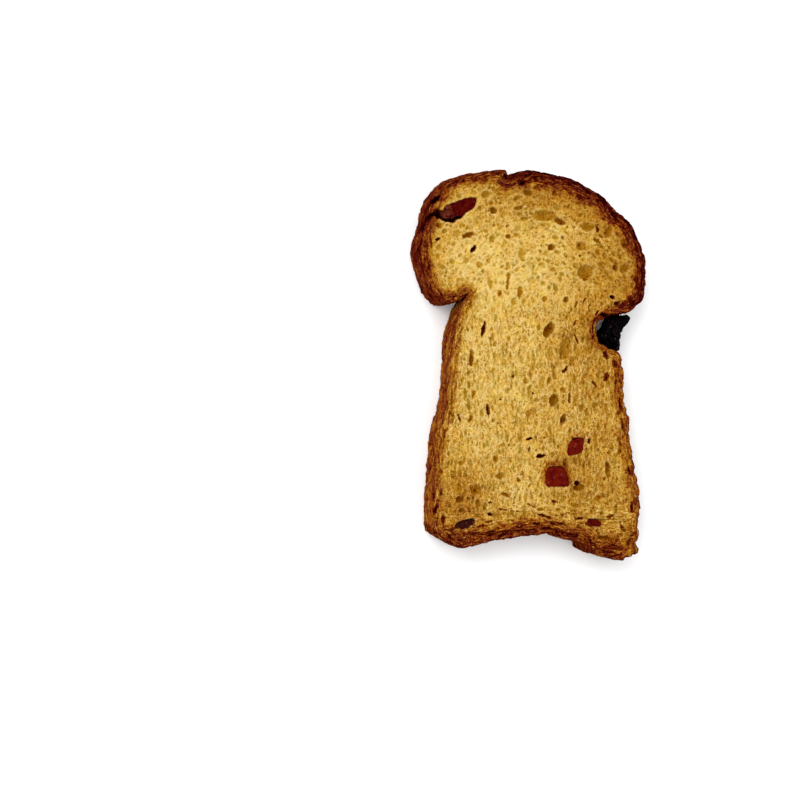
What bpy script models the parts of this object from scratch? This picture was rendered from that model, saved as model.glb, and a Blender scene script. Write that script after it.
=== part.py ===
"""A fruit rusk: one slice of raisin loaf, cut across and baked dry.

The slice lies flat on its back face. +Y points to the crown of the loaf,
+X to the right of the slice and +Z up out of its front face. The origin is
the middle of its place on the table. Sizes are in millimetres until the
meshes are made, which are in metres.
"""

import math
import random

import bmesh
import bpy
from mathutils import Matrix, Vector, noise
from mathutils.geometry import delaunay_2d_cdt

MM = 0.001
SEED = 21

# The slice
THICKNESS = 9.5
RIM_ROUND = 0.4          # how far the cut edges are rubbed round
CRUMB_SINK = 0.45        # the crumb dries to below the hard rim of crust
SINK_REACH = 7.0         # distance from the crust at which it has sunk so far
CRUST_CRAG = 0.55        # deepest hollow between the crags of the crust
CRAG_LENGTH = 4.2        # distance from one crag to the next

# The mesh
CURVE_PARTS = 16         # parts of the curve between two knots
OUTLINE_STEP = 1.7       # distance between the points of the outline
CRUMB_STEP = 3.3         # distance between the points of the open crumb
CRUMB_SHIFT = 0.5        # how far those points are shifted at random
RIM_CLEAR = 1.3          # how far they stay off the crust
PORE_CLEAR = 0.9         # and off the pores and pockets
WALL_ROWS = 5
SMALL_PORE_RIM = 6
EYE_RIM = 8
POCKET_SIDES = 16

# The outline of the cut face. Each stretch is one smooth curve, and the
# stretches meet in the sharp corners of the loaf.
CROWN = (
    (-7.5, 51.4), (-6.1, 52.0), (-2.1, 53.3), (3.0, 52.6), (11.7, 50.7),
    (19.8, 46.3), (23.6, 43.1), (27.8, 40.2), (30.6, 34.2), (30.9, 32.2),
)
RIGHT_LOBE = (
    (30.9, 32.2), (31.9, 30.1), (32.5, 26.2), (32.2, 21.8), (31.5, 18.7),
    (29.5, 16.7), (26.9, 14.9), (22.5, 14.3),
)
RAISIN_NOTCH = (
    (22.5, 14.3), (20.0, 15.2), (18.7, 13.7), (18.0, 11.8), (17.9, 9.0),
    (18.9, 6.7), (21.6, 4.9), (24.5, 3.8), (25.7, 2.4),
)
RIGHT_SIDE = (
    (25.7, 2.4), (26.0, -2.3), (26.1, -9.2), (27.5, -13.6), (27.6, -19.2),
    (28.6, -23.6), (30.6, -34.7), (30.9, -40.2), (30.3, -43.0), (30.6, -46.3),
    (29.8, -48.7), (30.6, -50.4), (29.8, -51.6), (27.5, -52.4), (26.0, -53.3),
)
FOOT = (
    (26.0, -53.3), (21.9, -52.8), (17.8, -51.6), (13.7, -50.3), (11.4, -47.7),
    (7.9, -47.0), (3.6, -45.4), (1.0, -45.9), (-4.1, -46.2), (-9.3, -46.9),
    (-16.0, -48.0), (-19.4, -48.9), (-22.5, -48.4), (-28.3, -44.8),
)
LEFT_SIDE = (
    (-28.3, -44.8), (-29.0, -41.8), (-28.9, -36.0), (-27.6, -19.9),
    (-26.4, -14.6), (-25.0, -9.2), (-24.1, -2.5), (-24.0, 2.8), (-23.6, 7.4),
    (-22.5, 11.7), (-21.1, 15.5), (-19.1, 19.4),
)
LEFT_LOBE = (
    (-19.1, 19.4), (-21.6, 17.4), (-25.6, 16.5), (-28.4, 18.6), (-30.4, 21.6),
    (-32.5, 28.9), (-32.4, 32.5), (-30.8, 38.8), (-30.0, 42.7), (-28.3, 46.0),
    (-25.0, 49.7), (-21.1, 51.1), (-16.6, 52.0), (-12.1, 52.9), (-9.3, 52.8),
    (-7.5, 51.4),
)
STRETCHES = (CROWN, RIGHT_LOBE, RAISIN_NOTCH, RIGHT_SIDE, FOOT, LEFT_SIDE, LEFT_LOBE)

# The large eyes of the crumb in the front face: x, y, length, width, turn in
# degrees from +X, and depth.
EYES = (
    (-11.5, 42.0, 2.2, 2.0, 0, 1.8),
    (-18.8, 35.2, 3.6, 1.7, 18, 1.2),
    (-17.1, 31.4, 2.2, 1.2, 45, 2.0),
    (-3.5, 30.5, 3.2, 2.5, 90, 0.7),
    (-12.5, 22.5, 3.8, 1.6, -70, 1.2),
    (-7.5, 24.0, 5.6, 1.1, 85, 1.9),
    (-3.8, 19.5, 3.6, 1.7, 85, 1.2),
    (3.0, 41.0, 7.4, 3.1, 2, 1.8),
    (15.5, 38.3, 3.8, 2.8, 0, 1.2),
    (21.5, 37.0, 3.4, 2.4, 60, 1.2),
    (5.0, 32.5, 2.4, 1.7, 20, 1.6),
    (13.5, 33.0, 3.2, 2.6, 0, 0.9),
    (14.5, 26.0, 5.3, 3.9, 70, 2.0),
    (26.2, 33.0, 3.4, 2.6, -58, 1.1),
    (3.1, 10.1, 4.2, 2.6, 60, 2.4),
    (9.0, 5.0, 6.6, 3.4, 80, 2.0),
    (4.3, 3.4, 3.8, 2.4, 80, 1.3),
    (2.5, -4.4, 3.4, 1.9, 80, 1.2),
    (5.6, -9.2, 3.8, 2.8, 70, 2.4),
    (11.6, -3.6, 3.4, 1.4, 90, 1.6),
    (12.1, -9.4, 3.8, 1.8, 85, 1.4),
    (8.5, -15.0, 3.3, 2.0, 70, 1.3),
    (-14.5, 9.8, 4.9, 1.3, 75, 2.4),
    (-17.8, 2.2, 4.8, 1.7, 90, 2.0),
    (-13.0, -11.8, 3.5, 1.3, -80, 2.2),
    (-17.8, -14.0, 2.2, 1.3, 70, 1.6),
    (-9.5, -29.5, 2.5, 2.2, 0, 1.5),
    (-16.6, -33.0, 3.4, 3.0, 0, 0.9),
    (-25.6, -40.8, 3.2, 1.7, 90, 1.2),
    (21.8, -28.4, 5.2, 1.8, -80, 1.7),
    (13.4, -32.2, 3.2, 1.9, 15, 1.6),
    (20.6, -47.2, 4.6, 1.4, -10, 1.4),
)
# The other pores are placed by rule: how many, and their least and greatest
# length. The back face has larger eyes of its own.
FRONT_PORES = (70, 1.3, 2.4)
BACK_PORES = (60, 1.3, 2.4)
BACK_EYES = (16, 2.8, 4.6)
PORE_APART = 1.0         # crumb left between two pores
PORE_OFF_CRUST = 1.6     # and between a pore and the crust
EYE_OFF_CRUST = 3.0
PORE_SLIMNESS = (0.45, 0.9)
PORE_DEPTH = 0.55        # depth of a small pore as a share of its width
EYE_FLOOR = 0.8          # the ring near an eye's floor: its share of the depth,
EYE_FLOOR_INSET = 0.22   # and its inset as a share of the width
PLACING_TRIES = 6000

# The fruit: the middle in x and y, length, width, height, turn in degrees,
# and how far its top lies below the front face.
CROWN_RAISIN = (-21.2, 42.5, 11.6, 4.6, 4.2, 24, 0.35)
CANDIED_CUBE = (6.6, -30.0, 7.4, 6.0, 5.4, -3, 0.55)
CANDIED_CHIP = (11.8, -21.8, 5.0, 3.6, 3.2, 48, 0.35)
HEEL_RAISIN = (-19.8, -42.3, 6.8, 2.2, 3.0, 14, 0.40)
CANDIED_SLIVER = (17.2, -42.6, 4.4, 1.9, 2.4, -9, 0.30)
POCKET_RIM = 0.95        # how far the rim of a pocket stands off its fruit
POCKET_FLOOR = 0.45      # the same at the floor of the pocket
ROUND_FRUIT = 2.2        # exponents of the fruit's rounded forms
CUT_CUBE = 3.6
CUT_LEVEL = 0.62         # where the knife cut the fruit: -1 is its bottom, 1 its top

# The raisin wedged into the neck: its middle, its half height, and how far it
# reaches in the plane of the slice by the direction in degrees from +X
NECK_RAISIN = (23.1, 9.6, 5.2)
NECK_RAISIN_RISE = 4.2
NECK_RAISIN_REACH = (
    (0, 3.4), (25, 6.8), (38, 7.4), (60, 5.2), (90, 4.7), (118, 5.7), (138, 3.4),
    (160, 3.0), (190, 4.2), (225, 4.7), (262, 4.7), (290, 5.9), (318, 4.2), (340, 3.2),
)
FOLD_DEPTH = 0.13        # depth of the folds in a raisin's skin, as a share of its reach
CANDY_FOLD_DEPTH = 0.08  # the same in candied fruit


def spline(knots, step):
    """Points along a smooth curve through the knots, without the last one."""
    points = []
    for i in range(len(knots) - 1):
        p1 = Vector(knots[i])
        p2 = Vector(knots[i + 1])
        p0 = Vector(knots[i - 1]) if i > 0 else p1
        p3 = Vector(knots[i + 2]) if i + 2 < len(knots) else p2
        for k in range(CURVE_PARTS):
            t = k / CURVE_PARTS
            points.append(0.5 * (2 * p1 + (p2 - p0) * t
                                 + (2 * p0 - 5 * p1 + 4 * p2 - p3) * t ** 2
                                 + (3 * p1 - p0 - 3 * p2 + p3) * t ** 3))
    points.append(Vector(knots[-1]))
    lengths = [0.0]
    for a, b in zip(points, points[1:]):
        lengths.append(lengths[-1] + (b - a).length)
    count = max(2, round(lengths[-1] / step))
    even = []
    i = 0
    for k in range(count):
        target = lengths[-1] * k / count
        while lengths[i + 1] < target:
            i += 1
        share = (target - lengths[i]) / (lengths[i + 1] - lengths[i])
        even.append(points[i].lerp(points[i + 1], share))
    return even


def slice_outline():
    """The whole outline, clockwise as the stretches run."""
    return [point for stretch in STRETCHES for point in spline(stretch, OUTLINE_STEP)]


def inward(outline, i):
    """The direction into the slice at one point of the outline."""
    along = outline[(i + 1) % len(outline)] - outline[i - 1]
    return Vector((along.y, -along.x)).normalized()


def inside(outline, point):
    """Whether a point lies inside the outline."""
    odd = False
    for i, b in enumerate(outline):
        a = outline[i - 1]
        if (a.y > point.y) != (b.y > point.y):
            if point.x < a.x + (point.y - a.y) / (b.y - a.y) * (b.x - a.x):
                odd = not odd
    return odd


def crust_distance(outline, point):
    """How far a point of the cut face is from the crust."""
    best = 1e9
    for i, b in enumerate(outline):
        a = outline[i - 1]
        side = b - a
        share = max(0.0, min(1.0, (point - a).dot(side) / side.length_squared))
        best = min(best, (a + side * share - point).length)
    return best


def crag(x, y, z):
    """How deep the crust is hollowed at a point: 0 on the crags, up to CRUST_CRAG."""
    place = Vector((x, y, z)) / CRAG_LENGTH
    rough = 0.65 * noise.noise(place) + 0.35 * noise.noise(place * 2.3)
    return CRUST_CRAG * max(0.0, min(1.0, 0.45 + 0.8 * rough))


def flow(x, y):
    """The turn of the pores, which the rising dough drew out along the loaf."""
    if y > 22.0:
        return math.degrees(math.atan2(y - 14.0, x)) + 90.0
    if y < -38.0:
        return 0.0
    return 84.0


def form_ring(form, grow, count, exponent):
    """The outline of a pore or a piece of fruit, set off by grow."""
    x, y, length, width, turn = form[:5]
    angle = math.radians(turn)
    ring = []
    for k in range(count):
        t = 2 * math.pi * (k + 0.5) / count
        c, s = math.cos(t), math.sin(t)
        reach = (abs(c) ** exponent + abs(s) ** exponent) ** (-1 / exponent)
        u = (length / 2 + grow) * reach * c
        v = (width / 2 + grow) * reach * s
        ring.append(Vector((x + u * math.cos(angle) - v * math.sin(angle),
                            y + u * math.sin(angle) + v * math.cos(angle))))
    return ring


def fruit_plan(fruit):
    """The fruit's place in the form that form_ring reads."""
    x, y, length, width, height, turn, below = fruit
    return (x, y, length, width, turn)


def extent(outline, axis):
    """The least and the greatest coordinate of the outline along one axis."""
    values = [point[axis] for point in outline]
    return min(values), max(values)


def scattered(outline, taken, rule, off_crust, rng):
    """Pores by rule: placed at random, clear of the crust and of each other."""
    count, least, greatest = rule
    pores = []
    for _ in range(PLACING_TRIES):
        if len(pores) == count:
            break
        place = Vector((rng.uniform(*extent(outline, 0)), rng.uniform(*extent(outline, 1))))
        length = rng.uniform(least, greatest)
        need = length / 2 + off_crust
        if not inside(outline, place) or crust_distance(outline, place) < need:
            continue
        need = length / 2 + PORE_APART
        if any((place - spot).length < need + radius for spot, radius in taken):
            continue
        turn = flow(place.x, place.y) + rng.uniform(-18, 18)
        width = length * rng.uniform(*PORE_SLIMNESS)
        pores.append((place.x, place.y, length, width, turn, PORE_DEPTH * width))
        taken.append((place, length / 2))
    return pores


class Face:
    """One cut face: points with heights, closed rings, and their triangles."""

    def __init__(self, rim, heights):
        self.points = list(rim)
        self.heights = list(heights)
        count = len(rim)
        self.edges = [(i, (i + 1) % count) for i in range(count)]
        self.rim_count = count

    def ring(self, ring, height):
        first = len(self.points)
        self.points += ring
        self.heights += [height] * len(ring)
        self.edges += [(first + i, first + (i + 1) % len(ring)) for i in range(len(ring))]

    def spot(self, point, height):
        self.points.append(point)
        self.heights.append(height)

    def triangles(self):
        made = delaunay_2d_cdt(self.points, self.edges, [], 1, 1e-5)
        vertices, faces, sources = made[0], made[2], made[3]
        if any(not source for source in sources):
            raise ValueError("two rings of one face cross")
        return [[sources[i][0] for i in face] for face in faces if len(face) == 3]


def add_pore(face, pore, level, into):
    """A pore as a crater: its rim, for an eye a ring near its floor, and its floor.

    into is -1 where the material lies below the face and 1 where it lies above.
    """
    width, depth = pore[3], into * pore[5]
    if max(pore[2:4]) > FRONT_PORES[2]:
        face.ring(form_ring(pore, 0.0, EYE_RIM, 2.0), level)
        inner = form_ring(pore, -EYE_FLOOR_INSET * width, EYE_RIM, 2.0)
        face.ring(inner, level + EYE_FLOOR * depth)
    else:
        face.ring(form_ring(pore, 0.0, SMALL_PORE_RIM, 2.0), level)
    face.spot(Vector(pore[:2]), level + depth)


def fill(face, outline, taken, rng):
    """Points across the open front crumb, on a jittered triangular grid."""
    left, right = extent(outline, 0)
    foot, crown = extent(outline, 1)
    row_step = CRUMB_STEP * math.sin(math.radians(60))
    for row in range(int((crown - foot) / row_step)):
        for column in range(int((right - left) / CRUMB_STEP) + 1):
            x = left + (column + 0.5 * (row % 2)) * CRUMB_STEP
            y = foot + row * row_step
            shift = Vector((rng.uniform(-1, 1), rng.uniform(-1, 1))) * CRUMB_SHIFT
            point = Vector((x, y)) + shift
            if not inside(outline, point):
                continue
            edge = crust_distance(outline, point)
            if edge < RIM_CLEAR:
                continue
            if any((point - spot).length < radius + PORE_CLEAR for spot, radius in taken):
                continue
            face.spot(point, THICKNESS - sunk(edge))


def beads(fruit):
    """Discs along a long piece of fruit, which together cover its pocket."""
    x, y, length, width, turn = fruit_plan(fruit)
    angle = math.radians(turn)
    run = (length - width) / 2
    count = max(1, round(length / width))
    discs = []
    for k in range(count + 1):
        at = run * (2 * k / count - 1)
        discs.append((Vector((x + at * math.cos(angle), y + at * math.sin(angle))),
                      width / 2 + POCKET_RIM))
    return discs


def pocketed():
    """The pieces of fruit that lie in pockets, each with its exponent."""
    return ((CROWN_RAISIN, ROUND_FRUIT), (CANDIED_CUBE, CUT_CUBE),
            (CANDIED_CHIP, CUT_CUBE), (HEEL_RAISIN, ROUND_FRUIT),
            (CANDIED_SLIVER, ROUND_FRUIT))


def sunk(edge):
    """How far the front crumb has sunk below the rim, by distance from the crust."""
    share = max(0.0, min(1.0, edge / SINK_REACH))
    return CRUMB_SINK * share * share * (3 - 2 * share)


def front_face(outline, rim, rng):
    """The front face: crumb, its eyes and small pores, and the fruit's pockets."""
    face = Face(rim, [THICKNESS] * len(rim))
    taken = []
    for fruit, exponent in pocketed():
        plan = fruit_plan(fruit)
        level = THICKNESS - sunk(crust_distance(outline, Vector(plan[:2])))
        floor = THICKNESS - fruit[6] - fruit[4] - POCKET_FLOOR
        face.ring(form_ring(plan, POCKET_RIM, POCKET_SIDES, exponent), level)
        face.ring(form_ring(plan, POCKET_FLOOR, POCKET_SIDES, exponent), floor)
        taken += beads(fruit)
    taken += [(Vector(eye[:2]), max(eye[2:4]) / 2) for eye in EYES]
    pores = scattered(outline, taken, FRONT_PORES, PORE_OFF_CRUST, rng)
    for pore in list(EYES) + pores:
        level = THICKNESS - sunk(crust_distance(outline, Vector(pore[:2])))
        add_pore(face, pore, level, -1)
    fill(face, outline, taken, rng)
    return face


def back_face(outline, rim, rng):
    """The back face, which is flat apart from its pores."""
    face = Face(rim, [0.0] * len(rim))
    taken = []
    eyes = scattered(outline, taken, BACK_EYES, EYE_OFF_CRUST, rng)
    pores = scattered(outline, taken, BACK_PORES, PORE_OFF_CRUST, rng)
    for pore in eyes + pores:
        add_pore(face, pore, 0.0, 1)
    return face


def wall_levels():
    """The rows of the crust: height, and how far the row is rubbed in."""
    straight = THICKNESS - 2 * RIM_ROUND
    middle = [(RIM_ROUND + straight * k / (WALL_ROWS - 1), 0.0) for k in range(WALL_ROWS)]
    return [(0.0, RIM_ROUND)] + middle + [(THICKNESS, RIM_ROUND)]


def material(name, colour, roughness):
    """A plain finish for one sub-part."""
    made = bpy.data.materials.new(name)
    made.use_nodes = True
    shader = made.node_tree.nodes["Principled BSDF"]
    shader.inputs["Base Color"].default_value = (*colour, 1.0)
    shader.inputs["Roughness"].default_value = roughness
    made.diffuse_color = (*colour, 1.0)
    return made


def solid(name, mesh_data, finish):
    """Put a bmesh in millimetres into the scene as one closed, shaded object."""
    bmesh.ops.triangulate(mesh_data, faces=mesh_data.faces)
    bmesh.ops.recalc_face_normals(mesh_data, faces=mesh_data.faces)
    bmesh.ops.scale(mesh_data, vec=Vector((MM, MM, MM)), verts=mesh_data.verts)
    mesh = bpy.data.meshes.new(name)
    mesh_data.to_mesh(mesh)
    mesh_data.free()
    mesh.materials.append(finish)
    mesh.shade_smooth()
    mesh.set_sharp_from_angle(angle=math.radians(38))
    made = bpy.data.objects.new(name, mesh)
    bpy.context.scene.collection.objects.link(made)
    return made


def rusk_slice(finish, rng):
    """The toasted slice: a wall of crust between two cut faces, in one solid."""
    outline = slice_outline()
    count = len(outline)
    normals = [inward(outline, i) for i in range(count)]
    data = bmesh.new()
    rows = []
    for z, rubbed in wall_levels():
        row = []
        for point, normal in zip(outline, normals):
            deep = rubbed + crag(point.x, point.y, z)
            row.append(Vector((*(point + normal * deep), z)))
        rows.append([data.verts.new(p) for p in row])
    for low, high in zip(rows, rows[1:]):
        for i in range(count):
            data.faces.new((low[i - 1], low[i], high[i], high[i - 1]))
    for face_of, row in ((front_face, rows[-1]), (back_face, rows[0])):
        rim = [v.co.xy for v in row]
        face = face_of(outline, rim, rng)
        inner = [data.verts.new((*p, z)) for p, z in
                 list(zip(face.points, face.heights))[face.rim_count:]]
        corner = row + inner
        for triangle in face.triangles():
            data.faces.new([corner[i] for i in triangle])
    loose = [v for v in data.verts if not v.link_faces]
    bmesh.ops.delete(data, geom=loose, context="VERTS")
    return solid("rusk_slice", data, finish)


def wrinkle(direction, seed, depth, folds):
    """How far the skin of dried fruit is drawn in, in one direction."""
    spot = direction * folds + Vector((seed, 0.4 * seed, 0.0))
    fold = 1 - 2.2 * abs(noise.noise(spot))
    return depth * max(0.0, fold) ** 2


def set_fruit(name, fruit, exponent, seed, fold, finish):
    """A piece of fruit in its pocket, its top cut off level with the slice."""
    x, y, length, width, height, turn, below = fruit
    data = bmesh.new()
    bmesh.ops.create_icosphere(data, subdivisions=3, radius=1.0)
    for vertex in data.verts:
        d = vertex.co.normalized()
        reach = sum(abs(c) ** exponent for c in d) ** (-1 / exponent)
        reach *= 1 - wrinkle(d, seed, fold, 2.2)
        u, v, w = d.x * reach, d.y * reach, d.z * reach
        top = min(w, CUT_LEVEL + 0.06 * noise.noise(Vector((u, v, seed)) * 2.0))
        vertex.co = Vector((u * length / 2, v * width / 2, top))
    low = min(v.co.z for v in data.verts)
    high = max(v.co.z for v in data.verts)
    bmesh.ops.scale(data, vec=Vector((1, 1, height / (high - low))), verts=data.verts)
    lift = THICKNESS - below - height * high / (high - low)
    place = Matrix.Translation((x, y, lift)) @ Matrix.Rotation(math.radians(turn), 4, "Z")
    bmesh.ops.transform(data, matrix=place, verts=data.verts)
    return solid(name, data, finish)


def reach_at(angle):
    """How far the neck raisin reaches in one direction, by a smooth curve."""
    table = NECK_RAISIN_REACH
    turn = math.degrees(angle) % 360
    for i, (start, low) in enumerate(table):
        end, high = table[(i + 1) % len(table)]
        span = (end - start) % 360
        share = (turn - start) % 360 / span
        if share <= 1:
            return low + (high - low) * share * share * (3 - 2 * share)
    raise ValueError("the directions leave a gap")


def neck_raisin(finish):
    """The whole raisin wedged in the neck, one end of its skin drawn out."""
    data = bmesh.new()
    bmesh.ops.create_icosphere(data, subdivisions=4, radius=1.0)
    for vertex in data.verts:
        d = vertex.co.normalized()
        size = 1 - wrinkle(d, 5.0, FOLD_DEPTH, 1.9)
        reach = size * reach_at(math.atan2(d.y, d.x))
        rise = size * NECK_RAISIN_RISE
        vertex.co = Vector((reach * d.x, reach * d.y, rise * d.z))
    bmesh.ops.translate(data, vec=Vector(NECK_RAISIN), verts=data.verts)
    return solid("neck_raisin", data, finish)


def centre_on_origin(pieces, slab):
    """Shift all pieces alike, so that the slice's box stands on the origin."""
    corners = [Vector(corner) for corner in slab.bound_box]
    middle = sum(corners, Vector()) / len(corners)
    for piece in pieces:
        piece.location = (-middle.x, -middle.y, 0.0)


def main():
    for old in list(bpy.data.objects):
        bpy.data.objects.remove(old, do_unlink=True)
    rng = random.Random(SEED)
    crumb = material("toasted_crumb", (0.60, 0.38, 0.12), 0.85)
    raisin = material("raisin_skin", (0.020, 0.008, 0.012), 0.32)
    candied = material("candied_fruit", (0.20, 0.012, 0.006), 0.28)
    slab = rusk_slice(crumb, rng)
    fruit = [
        neck_raisin(raisin),
        set_fruit("crown_raisin", CROWN_RAISIN, ROUND_FRUIT, 3.0, FOLD_DEPTH, raisin),
        set_fruit("heel_raisin", HEEL_RAISIN, ROUND_FRUIT, 8.0, FOLD_DEPTH, raisin),
        set_fruit("candied_cube", CANDIED_CUBE, CUT_CUBE, 1.0, CANDY_FOLD_DEPTH, candied),
        set_fruit("candied_chip", CANDIED_CHIP, CUT_CUBE, 6.0, CANDY_FOLD_DEPTH, candied),
        set_fruit("candied_sliver", CANDIED_SLIVER, ROUND_FRUIT, 4.0, CANDY_FOLD_DEPTH,
                  candied),
    ]
    centre_on_origin([slab] + fruit, slab)


main()
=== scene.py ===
# %% [markdown]
# # A fruit rusk
#
# This lesson dresses one slice of raisin loaf that was baked, cut across and
# baked again until it was dry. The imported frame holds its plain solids. The
# lesson keeps their places and makes what the eye meets: an open crumb with
# thousands of pores, a crust that browns by degrees, and sticky fruit.
# The frame comes first, because every piece has to sit where its solid sits.

# %% The frame
import math
from collections import namedtuple

import bmesh
import bpy
import numpy as np
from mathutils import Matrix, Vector, kdtree, noise
from mathutils.geometry import delaunay_2d_cdt


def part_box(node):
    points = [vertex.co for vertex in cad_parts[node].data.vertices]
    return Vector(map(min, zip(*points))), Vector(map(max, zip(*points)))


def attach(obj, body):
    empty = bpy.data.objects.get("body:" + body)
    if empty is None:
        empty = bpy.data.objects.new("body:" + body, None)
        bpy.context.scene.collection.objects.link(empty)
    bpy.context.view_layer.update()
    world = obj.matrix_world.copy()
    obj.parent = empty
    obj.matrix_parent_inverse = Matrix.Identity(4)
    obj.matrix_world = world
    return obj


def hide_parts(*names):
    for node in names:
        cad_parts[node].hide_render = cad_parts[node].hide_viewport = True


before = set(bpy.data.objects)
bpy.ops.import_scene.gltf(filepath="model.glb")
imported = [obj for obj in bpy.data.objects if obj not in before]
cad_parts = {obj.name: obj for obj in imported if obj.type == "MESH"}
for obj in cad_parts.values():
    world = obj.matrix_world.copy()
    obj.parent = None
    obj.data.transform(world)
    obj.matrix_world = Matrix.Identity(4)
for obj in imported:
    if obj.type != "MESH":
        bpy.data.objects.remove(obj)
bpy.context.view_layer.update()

MM = 0.001


def box_mm(node):
    """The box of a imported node: its lowest and its highest corner, in millimetres."""
    return [np.array(corner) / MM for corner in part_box(node)]


slab_low, slab_high = box_mm("rusk_slice")
THICKNESS = float(slab_high[2] - slab_low[2])
print("the slice measures", np.round(slab_high - slab_low, 1), "mm")

# %% [markdown]
# ## The outline of the slice
#
# The loaf rose out of its tin into a cap, so the slice has two lobes, a neck
# under each of them, and sides that widen to a foot. The outline is drawn with
# knots in millimetres. Between knots it is a Catmull-Rom curve, which passes
# through each knot, and a new stretch starts wherever the crust has a sharp
# corner. Bezier curves would need handles, which say nothing about the bread.
#
# Each stretch also says how far the browning reaches into the cut face, what
# share of that is burnt, how brown its rim is, how brown the outside of its
# crust is, and how far its edge has crumbled. The lobes stood above the tin
# and caught most heat. The sides leant on the tin, so their crust is thin and
# crumbles more.

# %% Knots of the outline, in millimetres
CROWN = (
    (-7.9, 51.6), (-5.8, 52.3), (-2.1, 53.2), (3.0, 52.7), (11.8, 50.9),
    (19.8, 46.5), (23.6, 43.2), (27.7, 39.8), (30.9, 34.2), (31.5, 32.4),
)
RIGHT_LOBE = (
    (31.5, 32.4), (32.2, 30.1), (32.5, 26.2), (32.3, 21.8), (31.6, 18.7),
    (29.6, 16.6), (26.9, 14.8), (22.5, 14.2),
)
RAISIN_NOTCH = (
    (22.5, 14.2), (20.9, 13.3), (19.4, 12.9), (18.3, 12.2), (17.9, 10.8),
    (18.0, 9.0), (18.9, 6.9), (21.6, 4.9), (24.4, 3.9), (25.5, 2.4),
)
RIGHT_SIDE = (
    (25.5, 2.4), (26.0, -2.3), (26.1, -9.2), (27.5, -13.6), (27.6, -19.2),
    (28.6, -23.6), (30.6, -34.7), (30.9, -40.2), (30.3, -43.0), (30.6, -46.3),
    (29.8, -48.7), (30.6, -50.4), (29.8, -51.6), (27.5, -52.4), (26.0, -53.3),
)
FOOT = (
    (26.0, -53.3), (21.9, -52.8), (18.2, -51.7), (14.6, -50.1), (13.6, -48.3),
    (8.6, -47.0), (3.6, -45.4), (1.0, -45.9), (-4.1, -46.2), (-9.3, -46.9),
    (-16.0, -48.0), (-19.4, -48.9), (-22.5, -48.4), (-28.3, -44.8),
)
LEFT_SIDE = (
    (-28.3, -44.8), (-29.0, -41.8), (-28.9, -36.0), (-27.6, -19.9),
    (-26.4, -14.6), (-25.0, -9.2), (-24.1, -2.5), (-24.0, 2.8), (-23.6, 7.4),
    (-22.5, 11.7), (-21.1, 15.5), (-19.1, 19.4),
)
LEFT_LOBE = (
    (-19.1, 19.4), (-21.6, 17.4), (-25.6, 16.5), (-28.4, 18.6), (-30.4, 21.6),
    (-32.5, 28.9), (-32.4, 32.5), (-30.8, 38.8), (-30.0, 42.7), (-28.3, 46.0),
    (-25.0, 49.7), (-21.1, 51.1), (-16.6, 52.0), (-12.1, 52.9), (-8.7, 53.0),
    (-7.9, 51.6),
)
# The stretch, the reach of its browning and the burnt share of it, how brown
# its rim and its outside are, and how ragged it is
STRETCHES = (
    (CROWN, 3.8, 0.40, 0.71, 0.80, 0.25),
    (RIGHT_LOBE, 3.0, 0.90, 0.65, 0.76, 0.10),
    (RAISIN_NOTCH, 1.6, 0.40, 0.38, 0.54, 0.10),
    (RIGHT_SIDE, 2.6, 0.28, 0.41, 0.52, 0.75),
    (FOOT, 4.0, 0.62, 0.55, 0.60, 0.50),
    (LEFT_SIDE, 2.2, 0.35, 0.33, 0.43, 0.45),
    (LEFT_LOBE, 2.9, 0.72, 0.48, 0.58, 0.30),
)
print(sum(len(stretch[0]) for stretch in STRETCHES), "knots in", len(STRETCHES), "stretches")

# %% The curve through the knots
OUTLINE_STEP = 0.42      # millimetres between two points of the outline
CURVE_PARTS = 24         # straight parts between two knots, while the curve is measured
BLEND_STEPS = 7          # outline points over which one stretch passes into the next


def curve_through(knots, step):
    """Evenly spaced points on the smooth curve through the knots, without the last."""
    twice = np.array([knots[0], *knots, knots[-1]], float)      # each end comes twice
    t = np.linspace(0, 1, CURVE_PARTS, endpoint=False)[:, None]
    # A run goes from b to c, and the knots before and after it, a and d, bend it
    runs = [0.5 * (2 * b + (c - a) * t + (2 * a - 5 * b + 4 * c - d) * t ** 2
                   + (3 * b - a - 3 * c + d) * t ** 3)
            for a, b, c, d in zip(twice, twice[1:], twice[2:], twice[3:])]
    line = np.vstack(runs + [twice[-1:]])
    length = np.r_[0, np.cumsum(np.hypot(*np.diff(line, axis=0).T))]
    even = np.linspace(0, length[-1], round(length[-1] / step), endpoint=False)
    return np.c_[np.interp(even, length, line[:, 0]), np.interp(even, length, line[:, 1])]


curves = [curve_through(stretch[0], OUTLINE_STEP) for stretch in STRETCHES]
outline = np.vstack(curves)
COUNT = len(outline)
heat = np.repeat([stretch[1:] for stretch in STRETCHES], [len(c) for c in curves], axis=0)
heat = sum(np.roll(heat, k, axis=0) for k in range(-BLEND_STEPS, BLEND_STEPS + 1))
heat /= 2 * BLEND_STEPS + 1
brown_reach, burnt_share, rim_brown, outside_brown, ragged = heat.T

# How far round the crust each point lies, and which way is into the slice from it
spans = np.hypot(*(np.roll(outline, -1, axis=0) - outline).T)
along = np.r_[0, np.cumsum(spans)[:-1]]
along_end = spans.sum()
steps = np.roll(outline, -1, axis=0) - np.roll(outline, 1, axis=0)
inward = np.c_[steps[:, 1], -steps[:, 0]] / np.hypot(*steps.T)[:, None]
print(COUNT, "points round", round(along_end), "mm of crust")

# %% [markdown]
# ## Measuring from the crust
#
# Bread changes with the distance from its crust: the browning, the sunken
# crumb and the layers pressed together under the skin all follow it. So every
# point of a face is told its distance from the outline, the nearest point of
# the outline, and whether it lies inside. The last is decided by counting how
# often a line to the right crosses the outline: an odd count means inside.
#
# Noise gives every surface its unevenness. It is smooth and repeatable, and it
# is asked for by the size of its lumps in millimetres.

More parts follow.
